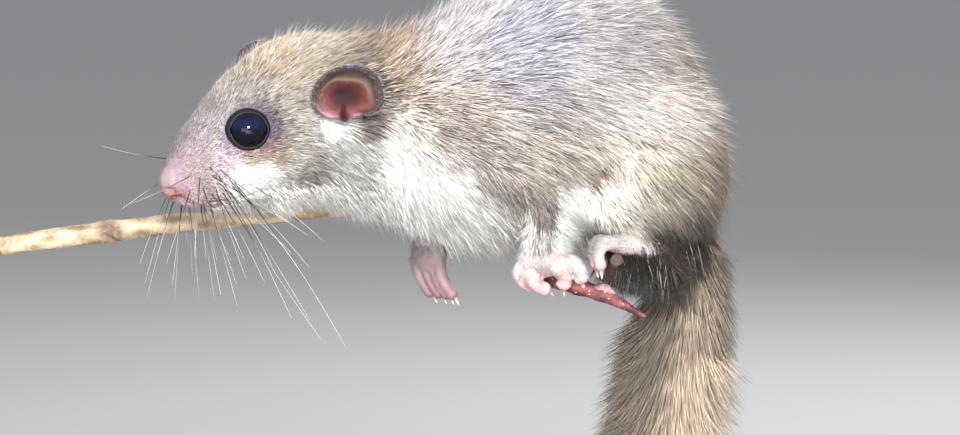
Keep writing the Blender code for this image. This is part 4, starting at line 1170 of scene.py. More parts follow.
# %% Rule of the ears
EAR_OUTLINE = [(0, 7.2), (20, 7.2), (41, 7.0), (60, 6.5), (75, 6.1), (90, 5.9), (115, 5.9), (145, 6.3),
               (165, 7.2), (180, 7.8), (200, 7.5), (216, 7.0), (231, 6.2), (244, 5.1), (252, 5.2),
               (259, 5.6), (266, 5.0), (272, 4.5), (285, 4.4), (306, 4.7), (320, 5.7), (332, 6.9),
               (345, 7.3), (360, 7.2)]
EAR_RIDGE = [(0, 0.64), (45, 0.6), (90, 0.53), (145, 0.7), (180, 0.67), (220, 0.74), (260, 0.8),
             (320, 0.74), (360, 0.64)]
# The darkest bands at the middle are partly painted shade in the bowl's hollow.
EAR_BANDS = [(0.0, (32, 13, 18)), (0.28, (42, 17, 22)), (0.42, (60, 28, 30)), (0.56, (84, 46, 44)),
             (0.63, (106, 78, 69)), (0.67, (100, 76, 68)), (0.74, (88, 68, 60)), (0.84, (68, 56, 54)),
             (1.0, (52, 44, 46))]
LOBE_COLOUR = linear(162, 112, 122)
# Painted shade for the pressed-in notch at the bottom of the bowl.
NOTCH_SHADE = linear(62, 24, 32)
EAR_WALL = 0.0005


def ear_rule(share, degrees):
    """(back, up, outward) in millimetres, and colour, at places of the ear."""
    outline = np.interp(degrees, *zip(*EAR_OUTLINE))
    ridge = np.interp(degrees, *zip(*EAR_RIDGE))
    band = np.where(share < ridge, 0.65 * share / ridge, 0.65 + 0.35 * (share - ridge) / (1 - ridge))
    upper = np.clip(0.5 + 1.2 * np.sin(np.radians(degrees + 12)), 0, 1)
    notch = bump_at(degrees, 258, 9) * np.clip((share - 0.3) / 0.3, 0, 1)
    lobes = bump_at(degrees, 226, 20) + 0.6 * bump_at(degrees, 288, 16)
    depth = -3.0 + 3.0 * np.clip(band / 0.65, 0, 1.6) ** 2.2 * (0.5 + 0.35 * upper)
    depth += 0.45 * bump_at(band, 0.66, 0.05) * upper - 0.3 * bump_at(band, 0.8, 0.07) * upper
    depth += 0.8 * lobes * bump_at(share, 0.82, 0.16) - 1.1 * notch
    depth -= 0.4 * bump_at(share, 1.0, 0.05)
    colour = np.stack([np.interp(band, [s for s, _ in EAR_BANDS], [linear(*c)[i] for _, c in EAR_BANDS])
                       for i in range(3)], -1)
    colour = colour * (1 - 0.42 * (1 - upper) * bump_at(band, 0.65, 0.09))[..., None]
    colour = blend(colour, LOBE_COLOUR, lobes * np.clip((share - 0.62) / 0.14, 0, 1))
    colour = blend(colour, linear(120, 66, 64), 0.5 * np.clip(1 - upper, 0, 1) * bump_at(band, 0.6, 0.2))
    # Painted shade: the notch at the bottom of the bowl is darkened.
    colour = blend(colour, NOTCH_SHADE, notch)
    angle = np.radians(degrees)
    return (outline * share * np.cos(angle) - 1.6 * (1 - share) ** 0.8,
            outline * share * np.sin(angle) - 0.8 * (1 - share) ** 0.8, depth, colour)


# %% Make the ears
def make_ear(side, name):
    """One ear from its rule, with a thin wall, closed at the middle."""
    outward, along, upright = (np.array(axis) for axis in ear_axes(side))
    turns, steps = 144, 38
    share = np.linspace(0.02, 1.0, steps)[:, None] * np.ones((1, turns))
    degrees = np.ones((steps, 1)) * np.linspace(0, 360, turns, endpoint=False)[None]
    x, z, depth, colour = (np.reshape(v, (steps * turns, -1)) for v in ear_rule(share, degrees))
    points = ear_place(side) + 0.96 * (x * along * side + z * upright + depth * outward) * MM
    points += outward * (0.00005 * waves(points, 0.0016, 61))[:, None]
    colour = np.clip(colour * (1 + 0.08 * waves(points, 0.0011, 62)[:, None]), 0, 1)
    points = np.vstack([points, points[:turns].mean(0)])
    quads = ring_quads(steps, turns)[:(steps - 1) * turns]
    k = np.arange(turns)
    hub = np.stack([np.full(turns, len(points) - 1), k, (k + 1) % turns], 1)
    mesh = mesh_from_arrays(f"ear_skin_{name}", points, quads, hub)
    colour_points(mesh, np.vstack([colour, colour[:1]]))
    outward_faces(mesh)
    if mesh.polygons[turns * 5].normal.dot(Vector(outward)) < 0:
        mesh.flip_normals()
    ear = add_piece(f"ear_skin_{name}", mesh, ear_finish)
    wall = ear.modifiers.new("thin wall", "SOLIDIFY")
    wall.thickness, wall.offset = EAR_WALL, -1.0
    bpy.context.view_layer.update()
    solid = plain_mesh(ear)
    ear.modifiers.clear()
    ear.data = solid
    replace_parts(ear, f"ear_{name}")
    print("ear", name, len(solid.polygons), "faces")
    return ear


ears = {side: make_ear(side, name) for side, name in SIDES}

# %% [markdown]
# The rim and the back of each ear carry very short velvet: dark hairs with a few pale ones
# among them, and greyer ones behind, tinted blue as a painted sheen.

# %% Velvet of the ears
def velvet(side, name):
    """Short hair on the rim and the back of an ear."""
    ear = ears[side]
    unwrap(ear)
    field = Ground(ear.data)
    outward = np.array(ear_axes(side)[0])
    along, upright = ear_measures(field.middles, side)[1:]
    flat = np.hypot(along, upright) / MM
    facing = field.normals[field.corners[:, 0]] @ outward
    density = np.where(facing > 0, (flat > 5.2) * (upright > -0.004) * 1.0, 0.6)
    roots, normals, uv = field.plant(density, 26.0)
    ways = unit(roots - (roots.mean(0) - outward * 0.002)) + 0.3 * chance.normal(size=roots.shape)
    count = len(roots)
    pale = chance.random((count, 1)) < 0.22
    colours = np.where(pale, linear(196, 186, 184), linear(74, 62, 62))
    colours = colours * (1 + chance.normal(0, 0.15, (count, 1)))
    behind = (normals @ outward < 0)[:, None]
    # The hair behind is grey, with a blue tint as painted sheen.
    colours = np.where(behind, linear(136, 132, 150) * (1 + chance.normal(0, 0.2, (count, 1))), colours)
    mesh = tuft_mesh(f"coat_ear_{name}", roots, normals, ways, chance.uniform(0.00045, 0.0009, count),
                     chance.uniform(0.00012, 0.0003, count), np.where(behind[:, 0], 0.00016, 0.00009),
                     [colours * 0.6, colours, colours * 1.1], uv, spikes=True)
    add_piece(f"coat_ear_{name}", mesh, coat_finish)


for side, name in SIDES:
    velvet(side, name)

# %% [markdown]
# ## Nose and muzzle
#
# The tip of the muzzle is nearly bare: a pink nose pad, comma-shaped nostrils, the lips and
# the rows of pits that the whiskers grow from. These are smaller than the skin's own faces,
# so the tip is remeshed once more on its own, much finer, and each feature is pressed or
# raised along its line. The back edge of the piece dips under the skin, hidden by hair.

# %% Lines and measures of the muzzle
NOSTRIL_LINE = [(1.7, 1.9, 6.0), (2.7, 2.7, 6.2), (3.3, 2.8, 7.0), (2.9, 2.5, 7.9)]
PHILTRUM_LINE = [(0.4, 0.0, 8.6), (1.6, 0.0, 6.9), (3.5, 0.0, 5.9)]
PAD_EDGE_LINE = [(3.9, 2.6, 6.2), (4.2, 3.4, 8.2), (4.0, 3.2, 9.4)]
WHISKER_ROOTS = [(5.4 + column * 1.35, 4.3 + column * 0.72, 6.9 + row * 1.45 + column * 0.2)
                 for row in range(5) for column in range(6)]


def head_measures(points):
    """Each point's distances behind the nose tip, sideways and above, in millimetres."""
    offset = (points - np.array(body(*NOSE_TIP))) / MM
    sideways = offset @ np.array((math.sin(HEAD_YAW), -math.cos(HEAD_YAW), 0)) * math.hypot(1, HEAD_TILT)
    return offset @ np.array(BACK), sideways, offset[:, 2] - LEFTWARD.z * sideways


def muzzle_block():
    """The solids in front of a plane through the muzzle, closed behind."""
    flesh = joined_copy(["head", "jaw", "nose_pad"], 0.00012)
    shape = bmesh.new()
    shape.from_mesh(flesh)
    geometry = shape.verts[:] + shape.edges[:] + shape.faces[:]
    bmesh.ops.bisect_plane(shape, geom=geometry, plane_co=head(10.5, 0, 0), plane_no=BACK, clear_outer=True)
    bmesh.ops.holes_fill(shape, edges=[edge for edge in shape.edges if edge.is_boundary])
    shape.to_mesh(flesh)
    shape.free()
    return flesh


def near_roots(points):
    """How far each point is from the nearest pit of a whisker."""
    roots = np.array([tuple(head(b, side * s, h)) for b, s, h in WHISKER_ROOTS for side in (1, -1)])
    return np.sqrt(((points[:, None] - roots[None]) ** 2).sum(2)).min(1)


def settle_on_skin(points, normals, behind):
    """Lays the back of the piece on the skin, and its very edge just under it."""
    wall = normals @ np.array(BACK) < 0.6
    for i in np.nonzero(behind > 5.4)[0]:
        place, upward = skin_tree.find_nearest(Vector(points[i]))[:2]
        under = (0.05 - 0.5 * min(1.0, max(0.0, (behind[i] - 7.4) / 1.2))) * MM
        share = min(1.0, (behind[i] - 5.4) / 1.8)
        if wall[i] or (Vector(points[i]) - place).dot(upward) > under:
            points[i] = points[i] * (1 - share) + np.array(place + upward * under) * share
    return points


# %% Sculpt and paint the muzzle
def sculpt_muzzle(mesh):
    """Presses and raises nostrils, philtrum, pad, lips and pits, and paints them."""
    points, normals = points_of(mesh), normals_of(mesh)
    behind, sideways, height = head_measures(points)
    nostril, philtrum = line_distance(points, NOSTRIL_LINE), line_distance(points, PHILTRUM_LINE)
    pad_edge, mouth = line_distance(points, PAD_EDGE_LINE), line_distance(points, MOUTH_LINE)
    pits = near_roots(points)
    pad = np.clip((3.6 - behind - 0.12 * np.abs(sideways)) / 1.0, 0, 1)
    move = -0.6 * bump_at(nostril, 0, 0.00048) + 0.24 * bump_at(nostril, 0.0008, 0.00035) * pad
    move += -0.3 * bump_at(philtrum, 0, 0.0003) - 0.2 * bump_at(pad_edge, 0, 0.0004)
    move += -0.6 * bump_at(mouth, 0, 0.0004) + 0.2 * bump_at(mouth, 0.0009, 0.0004)
    move += 0.1 * bump_at(pits, 0.0003, 0.0002) - 0.12 * bump_at(pits, 0, 0.00015)
    move += 0.03 * pad * np.sin(height * 9.0 + sideways * 2.0) + 0.05 * waves(points, 0.0014, 52)
    move += 0.04 * pad * waves(points, 0.00055, 53)
    move -= 0.7 * blend_guides(points)[1][:, 1] / MM
    back = np.array(BACK) * (0.0007 * np.clip(1 - behind / 6, 0, 1))[:, None]
    moved = points + normals * (move * MM)[:, None] + back
    set_points(mesh, settle_on_skin(moved, normals, behind))
    colours = paint(points) * 0.66
    side_share = np.clip((9.0 - behind) / 3.0, 0, 1) * np.clip((13.5 - height) / 3.0, 0, 1)
    colours = blend(colours, linear(126, 97, 103), side_share)
    top_share = np.clip((height - 7.8) / 1.6, 0, 1) * np.clip((5.4 - behind) / 1.4, 0, 1)
    colours = blend(colours, linear(134, 115, 124), top_share)
    colours = blend(colours, linear(128, 97, 97), pad * np.clip((8.6 - height) / 1.4, 0, 1))
    colours = blend(colours, linear(120, 72, 66), 0.8 * bump_at(nostril, 0.0008, 0.0004) * pad)
    colours = blend(colours, linear(128, 80, 86), 0.6 * bump_at(pad_edge, 0, 0.0005))
    colours = blend(colours, linear(146, 106, 110), 0.7 * bump_at(mouth, 0.0009, 0.0006))
    # Painted shade: the mouth's line and the nostrils are darkened as recesses.
    colours = blend(colours, linear(96, 44, 46), bump_at(mouth, 0, 0.00035))
    colours = blend(colours, linear(58, 22, 26), 1.2 * bump_at(nostril, 0, 0.00052))
    colours = blend(colours, linear(150, 88, 88), 0.8 * bump_at(philtrum, 0, 0.0003))
    colours = blend(colours, linear(70, 44, 52), 0.9 * bump_at(pits, 0, 0.0003))
    colour_points(mesh, np.clip(colours * (1 + 0.06 * waves(points, 0.001, 51))[:, None], 0, 1))


def make_muzzle():
    """The muzzle's own fine skin, and its triangles for planting down."""
    mesh = remeshed(muzzle_block(), MUZZLE_VOXEL, 34, "muzzle_skin")
    sculpt_muzzle(mesh)
    muzzle = add_piece("muzzle_skin", mesh, bare_finish)
    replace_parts(muzzle, "nose_pad")
    unwrap(muzzle)
    print("muzzle", len(mesh.polygons), "faces")
    return Ground(mesh)


muzzle_ground = make_muzzle()

# %% [markdown]
# Very short hair covers the muzzle behind the pad: dark on the bridge, pale on the sides.
# It starts as down a few tenths of a millimetre long and joins the coat of the face.

# %% Down on the muzzle
def muzzle_down():
    """Down that gets longer backwards and is dark on the bridge and round the pits."""
    behind, sideways, height = head_measures(muzzle_ground.middles)
    density = np.clip((behind - 1.4 - 1.2 * (height < 9.0)) / 2.4, 0.0, 1) * (behind < 8.2)
    density = density * ~bare(muzzle_ground.middles)
    roots, normals, uv = muzzle_ground.plant(density, 66.0)
    behind, sideways, height = head_measures(roots)
    ways = unit(blend_guides(roots)[0]) + 0.16 * chance.normal(size=roots.shape)
    share = np.clip(behind / 8.5, 0, 1)
    lengths = (0.0004 + 0.001 * share) * chance.uniform(0.7, 1.25, len(roots))
    lifts = lengths * chance.uniform(0.2, 0.42, len(roots))
    bridge = np.clip((height - 12.0) / 3.0, 0, 1) * np.clip(1 - behind / 8.0, 0, 1)
    bridge = bridge * np.clip(1 - np.abs(sideways) / 5.0, 0, 1)
    dim = (1 - 0.55 * bridge) * (1 - 0.6 * bump_at(near_roots(roots), 0, 0.00038))
    tones = shades_of(paint(roots) * dim[:, None] * 0.86, 0.4, 0.26)
    widths = 0.00006 + 0.00008 * share
    mesh = tuft_mesh("coat_muzzle", roots, normals, ways, lengths, lifts, widths, tones, uv, spikes=True)
    add_piece("coat_muzzle", mesh, coat_finish)
    print("muzzle", len(roots), "tufts")


muzzle_down()

# %% [markdown]
# ## Hands and feet
#
# A dormouse has four fingers and five toes, soft as small cushions and bare below, with white
# hair above. Each is built from rounded pieces: a stretched ball for the palm, a tube for
# each digit with a pad at its end. A fine remesh wraps them into one soft skin.

# %% Places of palms and digits
LEFT_FINGERS = [[(9.8, -18.4, -7.4), (8.4, -18.9, -9.6), (8.8, -18.2, -11.6), (10.4, -17.4, -12.6)],
                [(11.4, -19.6, -7.8), (10.9, -20.8, -10.6), (11.8, -20.2, -12.4), (13.2, -19.2, -13.2)],
                [(14.2, -19.8, -7.6), (16.2, -21.2, -8.8), (17.4, -21.4, -10.4), (17.4, -20.8, -11.8)],
                [(15.4, -18.6, -6.8), (18.4, -20.0, -7.6), (20.3, -20.8, -9.0), (20.8, -20.6, -10.6)]]


def right_fingers():
    """Four fingers side by side, hanging from the palm."""
    spread_way = Vector((-0.75, 0.66, 0.0)).normalized()
    path = [Vector((-10.8, 13.0, -9.8)), Vector((-10.4, 12.8, -13.0)),
            Vector((-9.4, 12.4, -15.6)), Vector((-8.0, 12.0, -17.4))]
    return [[point + spread_way * (i - 1.5) * 2.1 * (1 + 0.15 * (i - 1.5)) for point in path]
            for i in range(4)]


def toes(side, ahead, start, bend, end):
    """Five toes side by side; start, bend and end say how far on and how high a joint is."""
    rows = []
    for i in range(5):
        apart, reach = (i - 2.0) * 1.7, 1.6 - abs(i - ahead) * 0.7
        rows.append([(start[0], side + apart * 0.7, start[1]),
                     (start[0] - 3.2 - reach, side + apart, start[1]),
                     (bend[0] - reach, side + apart * 1.15, bend[1]),
                     (end[0] - reach, side + apart * 1.2, end[1])])
    return rows


HANGING = ((0.1, 0, -1), (-0.66, -0.75, 0))
FLAT = ((1, 0, 0), (0, 0, 1))
FOOT_LEFT = [(38.2, -20.0, -5.8, 1.9), (35.5, -20.6, -4.8, 2.6), (30.6, -21.4, -3.2, 2.9)]
FOOT_RIGHT = [(38.6, 23.8, 11.6, 2.0), (35.0, 24.8, 10.6, 2.5), (29.0, 25.6, 10.0, 2.8)]
LEFT_PALMS = [((12.8, -18.4, -7.4), (4.8, 3.8, 3.6), FLAT), ((10.8, -19.2, -9.8), (2.7, 2.2, 3.2), FLAT),
              ((17.2, -19.8, -8.4), (3.8, 2.2, 2.5), FLAT)]
# Each paw: its digits, their radius, the balls of the palm, the wrist or ankle, the hair's way
PAWS = {
    "hand_left": (LEFT_FINGERS, 1.55, LEFT_PALMS, [], (0.15, -0.1, -1.0)),
    "hand_right": (right_fingers(), 1.4,
                   [((-11.0, 13.2, -9.2), (4.6, 4.4, 2.4), HANGING)], [], (0.1, 0.0, -1.0)),
    "foot_left": (toes(-21.0, 1.6, (29.6, -3.4), (24.9, -5.4), (25.2, -7.6)), 1.3,
                  [((30.4, -21.2, -3.6), (4.4, 4.2, 2.6), FLAT)], FOOT_LEFT, (-1.0, 0.0, -0.3)),
    "foot_right": (toes(25.6, 2.4, (28.4, 9.8), (22.0, 8.4), (20.0, 7.0)), 1.3,
                   [((28.6, 25.6, 9.8), (4.4, 4.0, 2.6), FLAT)], FOOT_RIGHT, (-1.0, 0.0, -0.3)),
}
print(len(PAWS), "hands and feet")


# %% Skin of hands and feet
def ball(place, size, ways=FLAT):
    """A closed ball, stretched and turned; ways are its long axis and its back."""
    along, upward = Vector(ways[0]).normalized(), Vector(ways[1]).normalized()
    across = upward.cross(along).normalized()
    turned = Matrix((along, across, along.cross(across))).transposed()
    shape = bmesh.new()
    bmesh.ops.create_icosphere(shape, subdivisions=3, radius=1.0)
    for vertex in shape.verts:
        vertex.co = body(*(Vector(place) + turned @ (vertex.co * Vector(size))))
    return finished(shape, "ball")


def limb_tube(rows):
    """A tube through rows of place and radius."""
    path = spline([tuple(row) for row in rows], 24)
    return mesh_from_arrays("limb", *tube([tuple(body(*row[:3])) for row in path], path[:, 3] * MM, 20))


def paw_skin(node):
    """Palm, digits and wrist or ankle in one soft skin."""
    digits, radius, palms, limb, _ = PAWS[node]
    meshes = [ball(*palm) for palm in palms]
    for joints in digits:
        sizes = (radius, radius * 0.98, radius * 0.9, radius * 0.94)
        meshes.append(limb_tube([(*joint, size) for joint, size in zip(joints, sizes)]))
        meshes.append(ball(joints[3], [radius * 1.02] * 3))
    if limb:
        meshes.append(limb_tube(limb))
    shape = bmesh.new()
    for mesh in meshes:
        shape.from_mesh(mesh)
        bpy.data.meshes.remove(mesh)
    return remeshed(finished(shape, "paw pieces"), PAW_VOXEL, 7, f"{node}_skin")


def paint_paw(mesh, shade):
    """Pink below, paler above, and red between the fingers that hold the twig, all darkened by the paw's
    painted shade.
    """
    points = points_of(mesh)
    x, y, z = trunk_measures(points).T
    share = (z - z.min()) / (z.max() - z.min()) * 1.35
    colours = blend(linear(200, 156, 162), linear(216, 192, 194), share)
    red = bump_at(np.linalg.norm(np.stack([x - 16.6, z + 9.9], 1), axis=1), 0, 1.2) * (y < -12)
    colours = blend(colours, linear(168, 60, 68), red * 0.8)
    colours *= (shade * (1 + 0.07 * waves(points, 0.002, 41)))[:, None]
    colour_points(mesh, np.clip(colours, 0, 1))


# %% Hair and claws of hands and feet
horn_finish = attribute_material("horn of the claws", 0.35, Specular_IOR_Level=0.5)


def make_claws(node):
    """Small curved cones at the ends of the digits, in one mesh."""
    points, quads, caps, tones, start = [], [], [], [], 0
    digits, radius = PAWS[node][:2]
    for joints in digits:
        end = (Vector(joints[3]) - Vector(joints[2])).normalized()
        down = (end + Vector((0, 0, -0.55))).normalized()
        first = Vector(joints[3]) + end * radius * 0.75
        rows = [(*first, 0.46), (*(first + end * 0.5), 0.42), (*(first + end * 0.8 + down * 0.5), 0.27),
                (*(first + end * 0.9 + down * 1.1), 0.05)]
        path = spline(rows, 14)
        part = tube([tuple(body(*row[:3])) for row in path], path[:, 3] * MM, 12)
        points.append(part[0])
        quads.append(part[1] + start)
        caps.append(part[2] + start)
        share = np.concatenate([np.repeat(np.linspace(0, 1, 14), 12), [0, 1]])
        tones.append(blend(linear(120, 88, 84), linear(206, 190, 176), share))
        start += len(part[0])
    mesh = mesh_from_arrays(f"claws_{node}", np.vstack(points), np.vstack(quads), np.vstack(caps))
    colour_points(mesh, np.vstack(tones))
    outward_faces(mesh)
    add_piece(f"claws_{node}", mesh, horn_finish)


def paw_hair(node, field, shade):
    """White hair above, longest at the wrist or ankle and shortest on the digits, darkened by the paw's
    painted shade.
    """
    middles = trunk_measures(field.middles)
    facing = field.normals[field.corners].mean(1)
    outside = unit(np.array((-0.2, -0.6 if middles[:, 1].mean() < 0 else 0.6, 0.75)))
    low, high = middles[:, 2].min(), middles[:, 2].max()
    above = np.clip((middles[:, 2] - low) / (high - low) * 2.4 - 0.4, 0, 1)
    roots, normals, uv = field.plant(np.clip(facing @ outside + 0.45, 0, 1) * above, 30.0)
    count = len(roots)
    share = np.clip(((roots[:, 2] - TRUNK_MIDDLE.z) / MM - low) / (high - low) * 1.3 - 0.3, 0, 1)
    ways = np.array(PAWS[node][4]) + 0.3 * chance.normal(size=(count, 3))
    lengths = (0.0007 + 0.0015 * share) * chance.uniform(0.75, 1.25, count)
    tint = shade * linear(236, 228, 227) * (1 + chance.normal(0, 0.1, (count, 1)))
    lifts = lengths * chance.uniform(0.15, 0.35, count)
    widths = chance.uniform(0.00009, 0.00016, count)
    shades = [tint * 0.7, tint * 0.9, tint]
    piece = tuft_mesh(f"coat_{node}", roots, normals, ways, lengths, lifts, widths, shades, uv, spikes=True)
    add_piece(f"coat_{node}", piece, coat_finish)
    print(node, count, "tufts")


# %% Make hands and feet
# Each paw's factor is painted shade: the far hand hangs in shadow and is darkest.
for node, shade in (("hand_left", 0.8), ("hand_right", 0.36), ("foot_left", 0.68), ("foot_right", 0.76)):
    paw_mesh = paw_skin(node)
    paint_paw(paw_mesh, shade)
    paw = add_piece(f"{node}_skin", paw_mesh, bare_finish)
    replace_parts(paw, node)
    unwrap(paw)
    paw_hair(node, Ground(paw_mesh), shade)
    make_claws(node)

# %% [markdown]
# ## Whiskers
#
# Whiskers are long, thin and springy, dark at the root and pale at the tip. Each follows a
# path, so Geometry Nodes sweep a small circle along all paths at once: the script draws the
# lines and their colours, the nodes give them thickness and a taper, and the result is
# turned into a plain mesh.


# %% Helpers for node trees
def new_tree(name, source, *sizes):
    """A node tree with a mesh, sizes and a finish as inputs, and each input's identifier."""
    tree = bpy.data.node_groups.new(name, "GeometryNodeTree")
    names = {}
    for title, kind, value in ((source, "Geometry", None), *sizes, ("Finish", "Material", None)):
        socket = tree.interface.new_socket(title, in_out="INPUT", socket_type="NodeSocket" + kind)
        if value is not None:
            socket.default_value = value
        names[title] = socket.identifier
    tree.interface.new_socket("Result", in_out="OUTPUT", socket_type="NodeSocketGeometry")
    return tree, names


def new_nodes(tree, *kinds):
    """New nodes of these kinds."""
    return [tree.nodes.new(kind) for kind in kinds]


def end_tree(tree, start, last, output):
    """Ends a tree in Realize Instances and Set Material."""
    realize, finish = new_nodes(tree, "GeometryNodeRealizeInstances", "GeometryNodeSetMaterial")
    link(tree, last, output, realize, "Geometry")
    link(tree, realize, "Geometry", finish, "Geometry")
    link(tree, start, "Finish", finish, "Material")
    link(tree, finish, "Geometry", tree.nodes.new("NodeGroupOutput"), "Result")


# %% Nodes for whiskers
def whisker_tree():
    """Nodes that sweep a small circle along each line, thinner towards its tip."""
    tree, names = new_tree("swept whiskers", "Lines", ("Thickness", "Float", 0.0001),
                           ("Tip share", "Float", 0.1))
    start = tree.nodes.new("NodeGroupInput")
    to_curve, sweep = new_nodes(tree, "GeometryNodeMeshToCurve", "GeometryNodeCurveToMesh")
    circle, along = new_nodes(tree, "GeometryNodeCurvePrimitiveCircle", "GeometryNodeSplineParameter")
    taper, radius = new_nodes(tree, "ShaderNodeMapRange", "GeometryNodeSetCurveRadius")
    circle.inputs["Resolution"].default_value = 4
    taper.inputs["To Min"].default_value = 1.0
    sweep.inputs["Fill Caps"].default_value = True
    link(tree, start, "Lines", to_curve, "Mesh")
    link(tree, along, "Factor", taper, "Value")
    link(tree, start, "Tip share", taper, "To Max")
    link(tree, to_curve, "Curve", radius, "Curve")
    link(tree, taper, "Result", radius, "Radius")
    link(tree, radius, "Curve", sweep, "Curve")
    if "Scale" in sweep.inputs:
        link(tree, taper, "Result", sweep, "Scale")
    link(tree, start, "Thickness", circle, "Radius")
    link(tree, circle, "Curve", sweep, "Profile Curve")
    end_tree(tree, start, sweep, "Mesh")
    return tree, names


# %% Turn the nodes' result into a piece
def through_nodes(name, mesh, tree, names, values):
    """Runs a mesh through a node tree and keeps the result as a plain piece."""
    maker = bpy.data.objects.new("maker", mesh)
    bpy.context.scene.collection.objects.link(maker)
    modifier = maker.modifiers.new("nodes", "NODES")
    modifier.node_group = tree
    for title, value in values.items():
        modifier[names[title]] = value
    bpy.context.view_layer.update()
    result = plain_mesh(maker)
    bpy.data.objects.remove(maker)
    result.name = name
    add_piece(name, result, values["Finish"])
    print(name, len(result.polygons), "faces")


# %% Whiskers
def whisker_lines(side):
    """Lines from the pits of one side, with a colour at each point."""
    points, edges, colours = [], [], []
    for number, (behind, sideways, height) in enumerate(WHISKER_ROOTS):
        row, column = divmod(number, 6)
        if chance.random() < 0.25:
            continue
        out = (LEFTWARD * side * (0.55 - column * 0.03) + BACK * (-0.25 + column * 0.17)
               + UPWARD * (-1.0 + row * 0.22) + Vector(chance.normal(0, 0.12, 3))).normalized()
        length = chance.uniform(0.016, 0.037) * (0.7 + 0.1 * column)
        sag = chance.uniform(-0.1, 0.25)
        for step in range(12):
            share = step / 11
            place = head(behind, side * (sideways + 0.2), height) + out * (length * share)
            points.append(tuple(place - UPWARD * (sag * length * share ** 2)))
            colours.append(blend(linear(40, 30, 32), linear(226, 220, 214), share * 1.7 - 0.6))
            if step:
                edges.append((len(points) - 2, len(points) - 1))
    mesh = bpy.data.meshes.new("whisker lines")
    mesh.from_pydata(points, edges, [])
    colour_points(mesh, np.array(colours))
    return mesh


whisker_nodes, whisker_inputs = whisker_tree()
for side, name in SIDES:
    through_nodes(f"whiskers_{name}", whisker_lines(side), whisker_nodes, whisker_inputs,
                  {"Thickness": 0.00011, "Tip share": 0.12, "Finish": coat_finish})


# %% [markdown]
# ## Bark
#
# The animal grips a cut hawthorn branch with a thorn twig. Young hawthorn bark is smooth and
# tan with a grey bloom, the twig is maroon, and both swell at their knots. The radius along
# each twig is given by a few rows, a finer tube is drawn through them, and its surface is
# moved by noise and by a lump at each knot.

# %% Branch, thorn twig and side twig
# Rows of a twig: a place and the radius there. Rows of knots: a place, a size and a rise.
BRANCH = [(-106.0, 27.0, -8.6, 2.1), (-88.0, 26.6, -6.2, 2.3), (-60.0, 26.2, -2.8, 2.2),
          (-30.0, 25.8, 0.4, 2.3), (0.0, 25.6, 3.4, 2.4), (25.0, 25.6, 5.8, 2.3), (52.0, 25.6, 8.0, 2.2)]
BRANCH_KNOTS = [(-82.5, 26.0, -4.8, 3.4, 0.5), (-80.0, 24.6, -6.0, 2.2, 0.6),
                (-41.0, 25.6, 1.0, 3.0, 0.5), (8.0, 24.6, 4.0, 3.2, 0.6)]
THORN_TWIG = [(7.0, 25.6, 4.4, 1.7), (9.4, 15.0, -7.4, 1.7), (11.0, 2.0, -11.4, 1.6),
              (12.6, -12.0, -11.4, 1.6), (16.4, -16.4, -11.7, 1.9), (19.6, -18.2, -12.5, 1.7),
              (27.0, -20.6, -15.0, 1.3), (34.2, -22.4, -18.6, 0.45)]
TWIG_KNOTS = [(16.8, -17.6, -10.6, 1.6, 0.5), (20.2, -18.8, -12.9, 1.9, 0.6), (25.4, -20.6, -13.6, 1.6, 0.4)]
SIDE_TWIG = [(22.0, 25.6, 5.4, 1.6), (24.0, 15.0, -7.6, 1.6), (26.6, 0.0, -12.0, 1.5),
             (28.0, -12.0, -10.4, 1.5), (28.2, -20.0, -7.6, 1.4), (28.0, -25.6, -6.6, 1.3)]
SIDE_KNOTS = [(26.6, 0.0, -12.0, 2.0, 0.4)]
BUD = [(23.4, -19.8, -13.4, 0.35), (24.4, -20.2, -12.9, 0.95), (25.8, -20.5, -13.0, 1.05),
       (27.0, -20.8, -13.4, 0.7), (27.9, -21.0, -13.9, 0.2)]
bark_finish = attribute_material("young bark", 0.6, bump=(1500.0, 0.00022, 0.6), Specular_IOR_Level=0.35)


def bark_mesh(name, rows, knots, sides, steps, tones):
    """A twig's tube with its knots; tones are the dark, the pale and the knot colour."""
    path = spline(rows, steps)
    places = np.array([tuple(body(*row[:3])) for row in path])
    points, quads, caps = tube(places, path[:, 3] * MM, sides)
    outward = unit(points[:-2] - np.repeat(places, sides, axis=0))
    move = 0.05 * waves(points[:-2], 0.0034, 71) + 0.03 * waves(points[:-2], 0.0011, 72)
    dark = np.zeros(len(points))
    for x, y, z, size, rise in knots:
        near = bump_at(np.linalg.norm(points - np.array(body(x, y, z)), axis=1) / MM, 0, size * 0.8)
        move += rise * near[:-2] * (1 + 0.5 * waves(points[:-2], 0.0012, 73))
        dark += near
    points[:-2] += outward * (move * MM)[:, None]
    share = 0.5 + 0.5 * waves(points * np.array([0.3, 1, 1]), 0.0022, 74) + 0.2 * waves(points, 0.0009, 75)
    mesh = mesh_from_arrays(name, points, quads, caps)
    colours = blend(tones[0], tones[1], share)
    colour_points(mesh, blend(colours, tones[2], np.clip(dark * 0.8, 0, 0.75)))
    outward_faces(mesh)
    return mesh


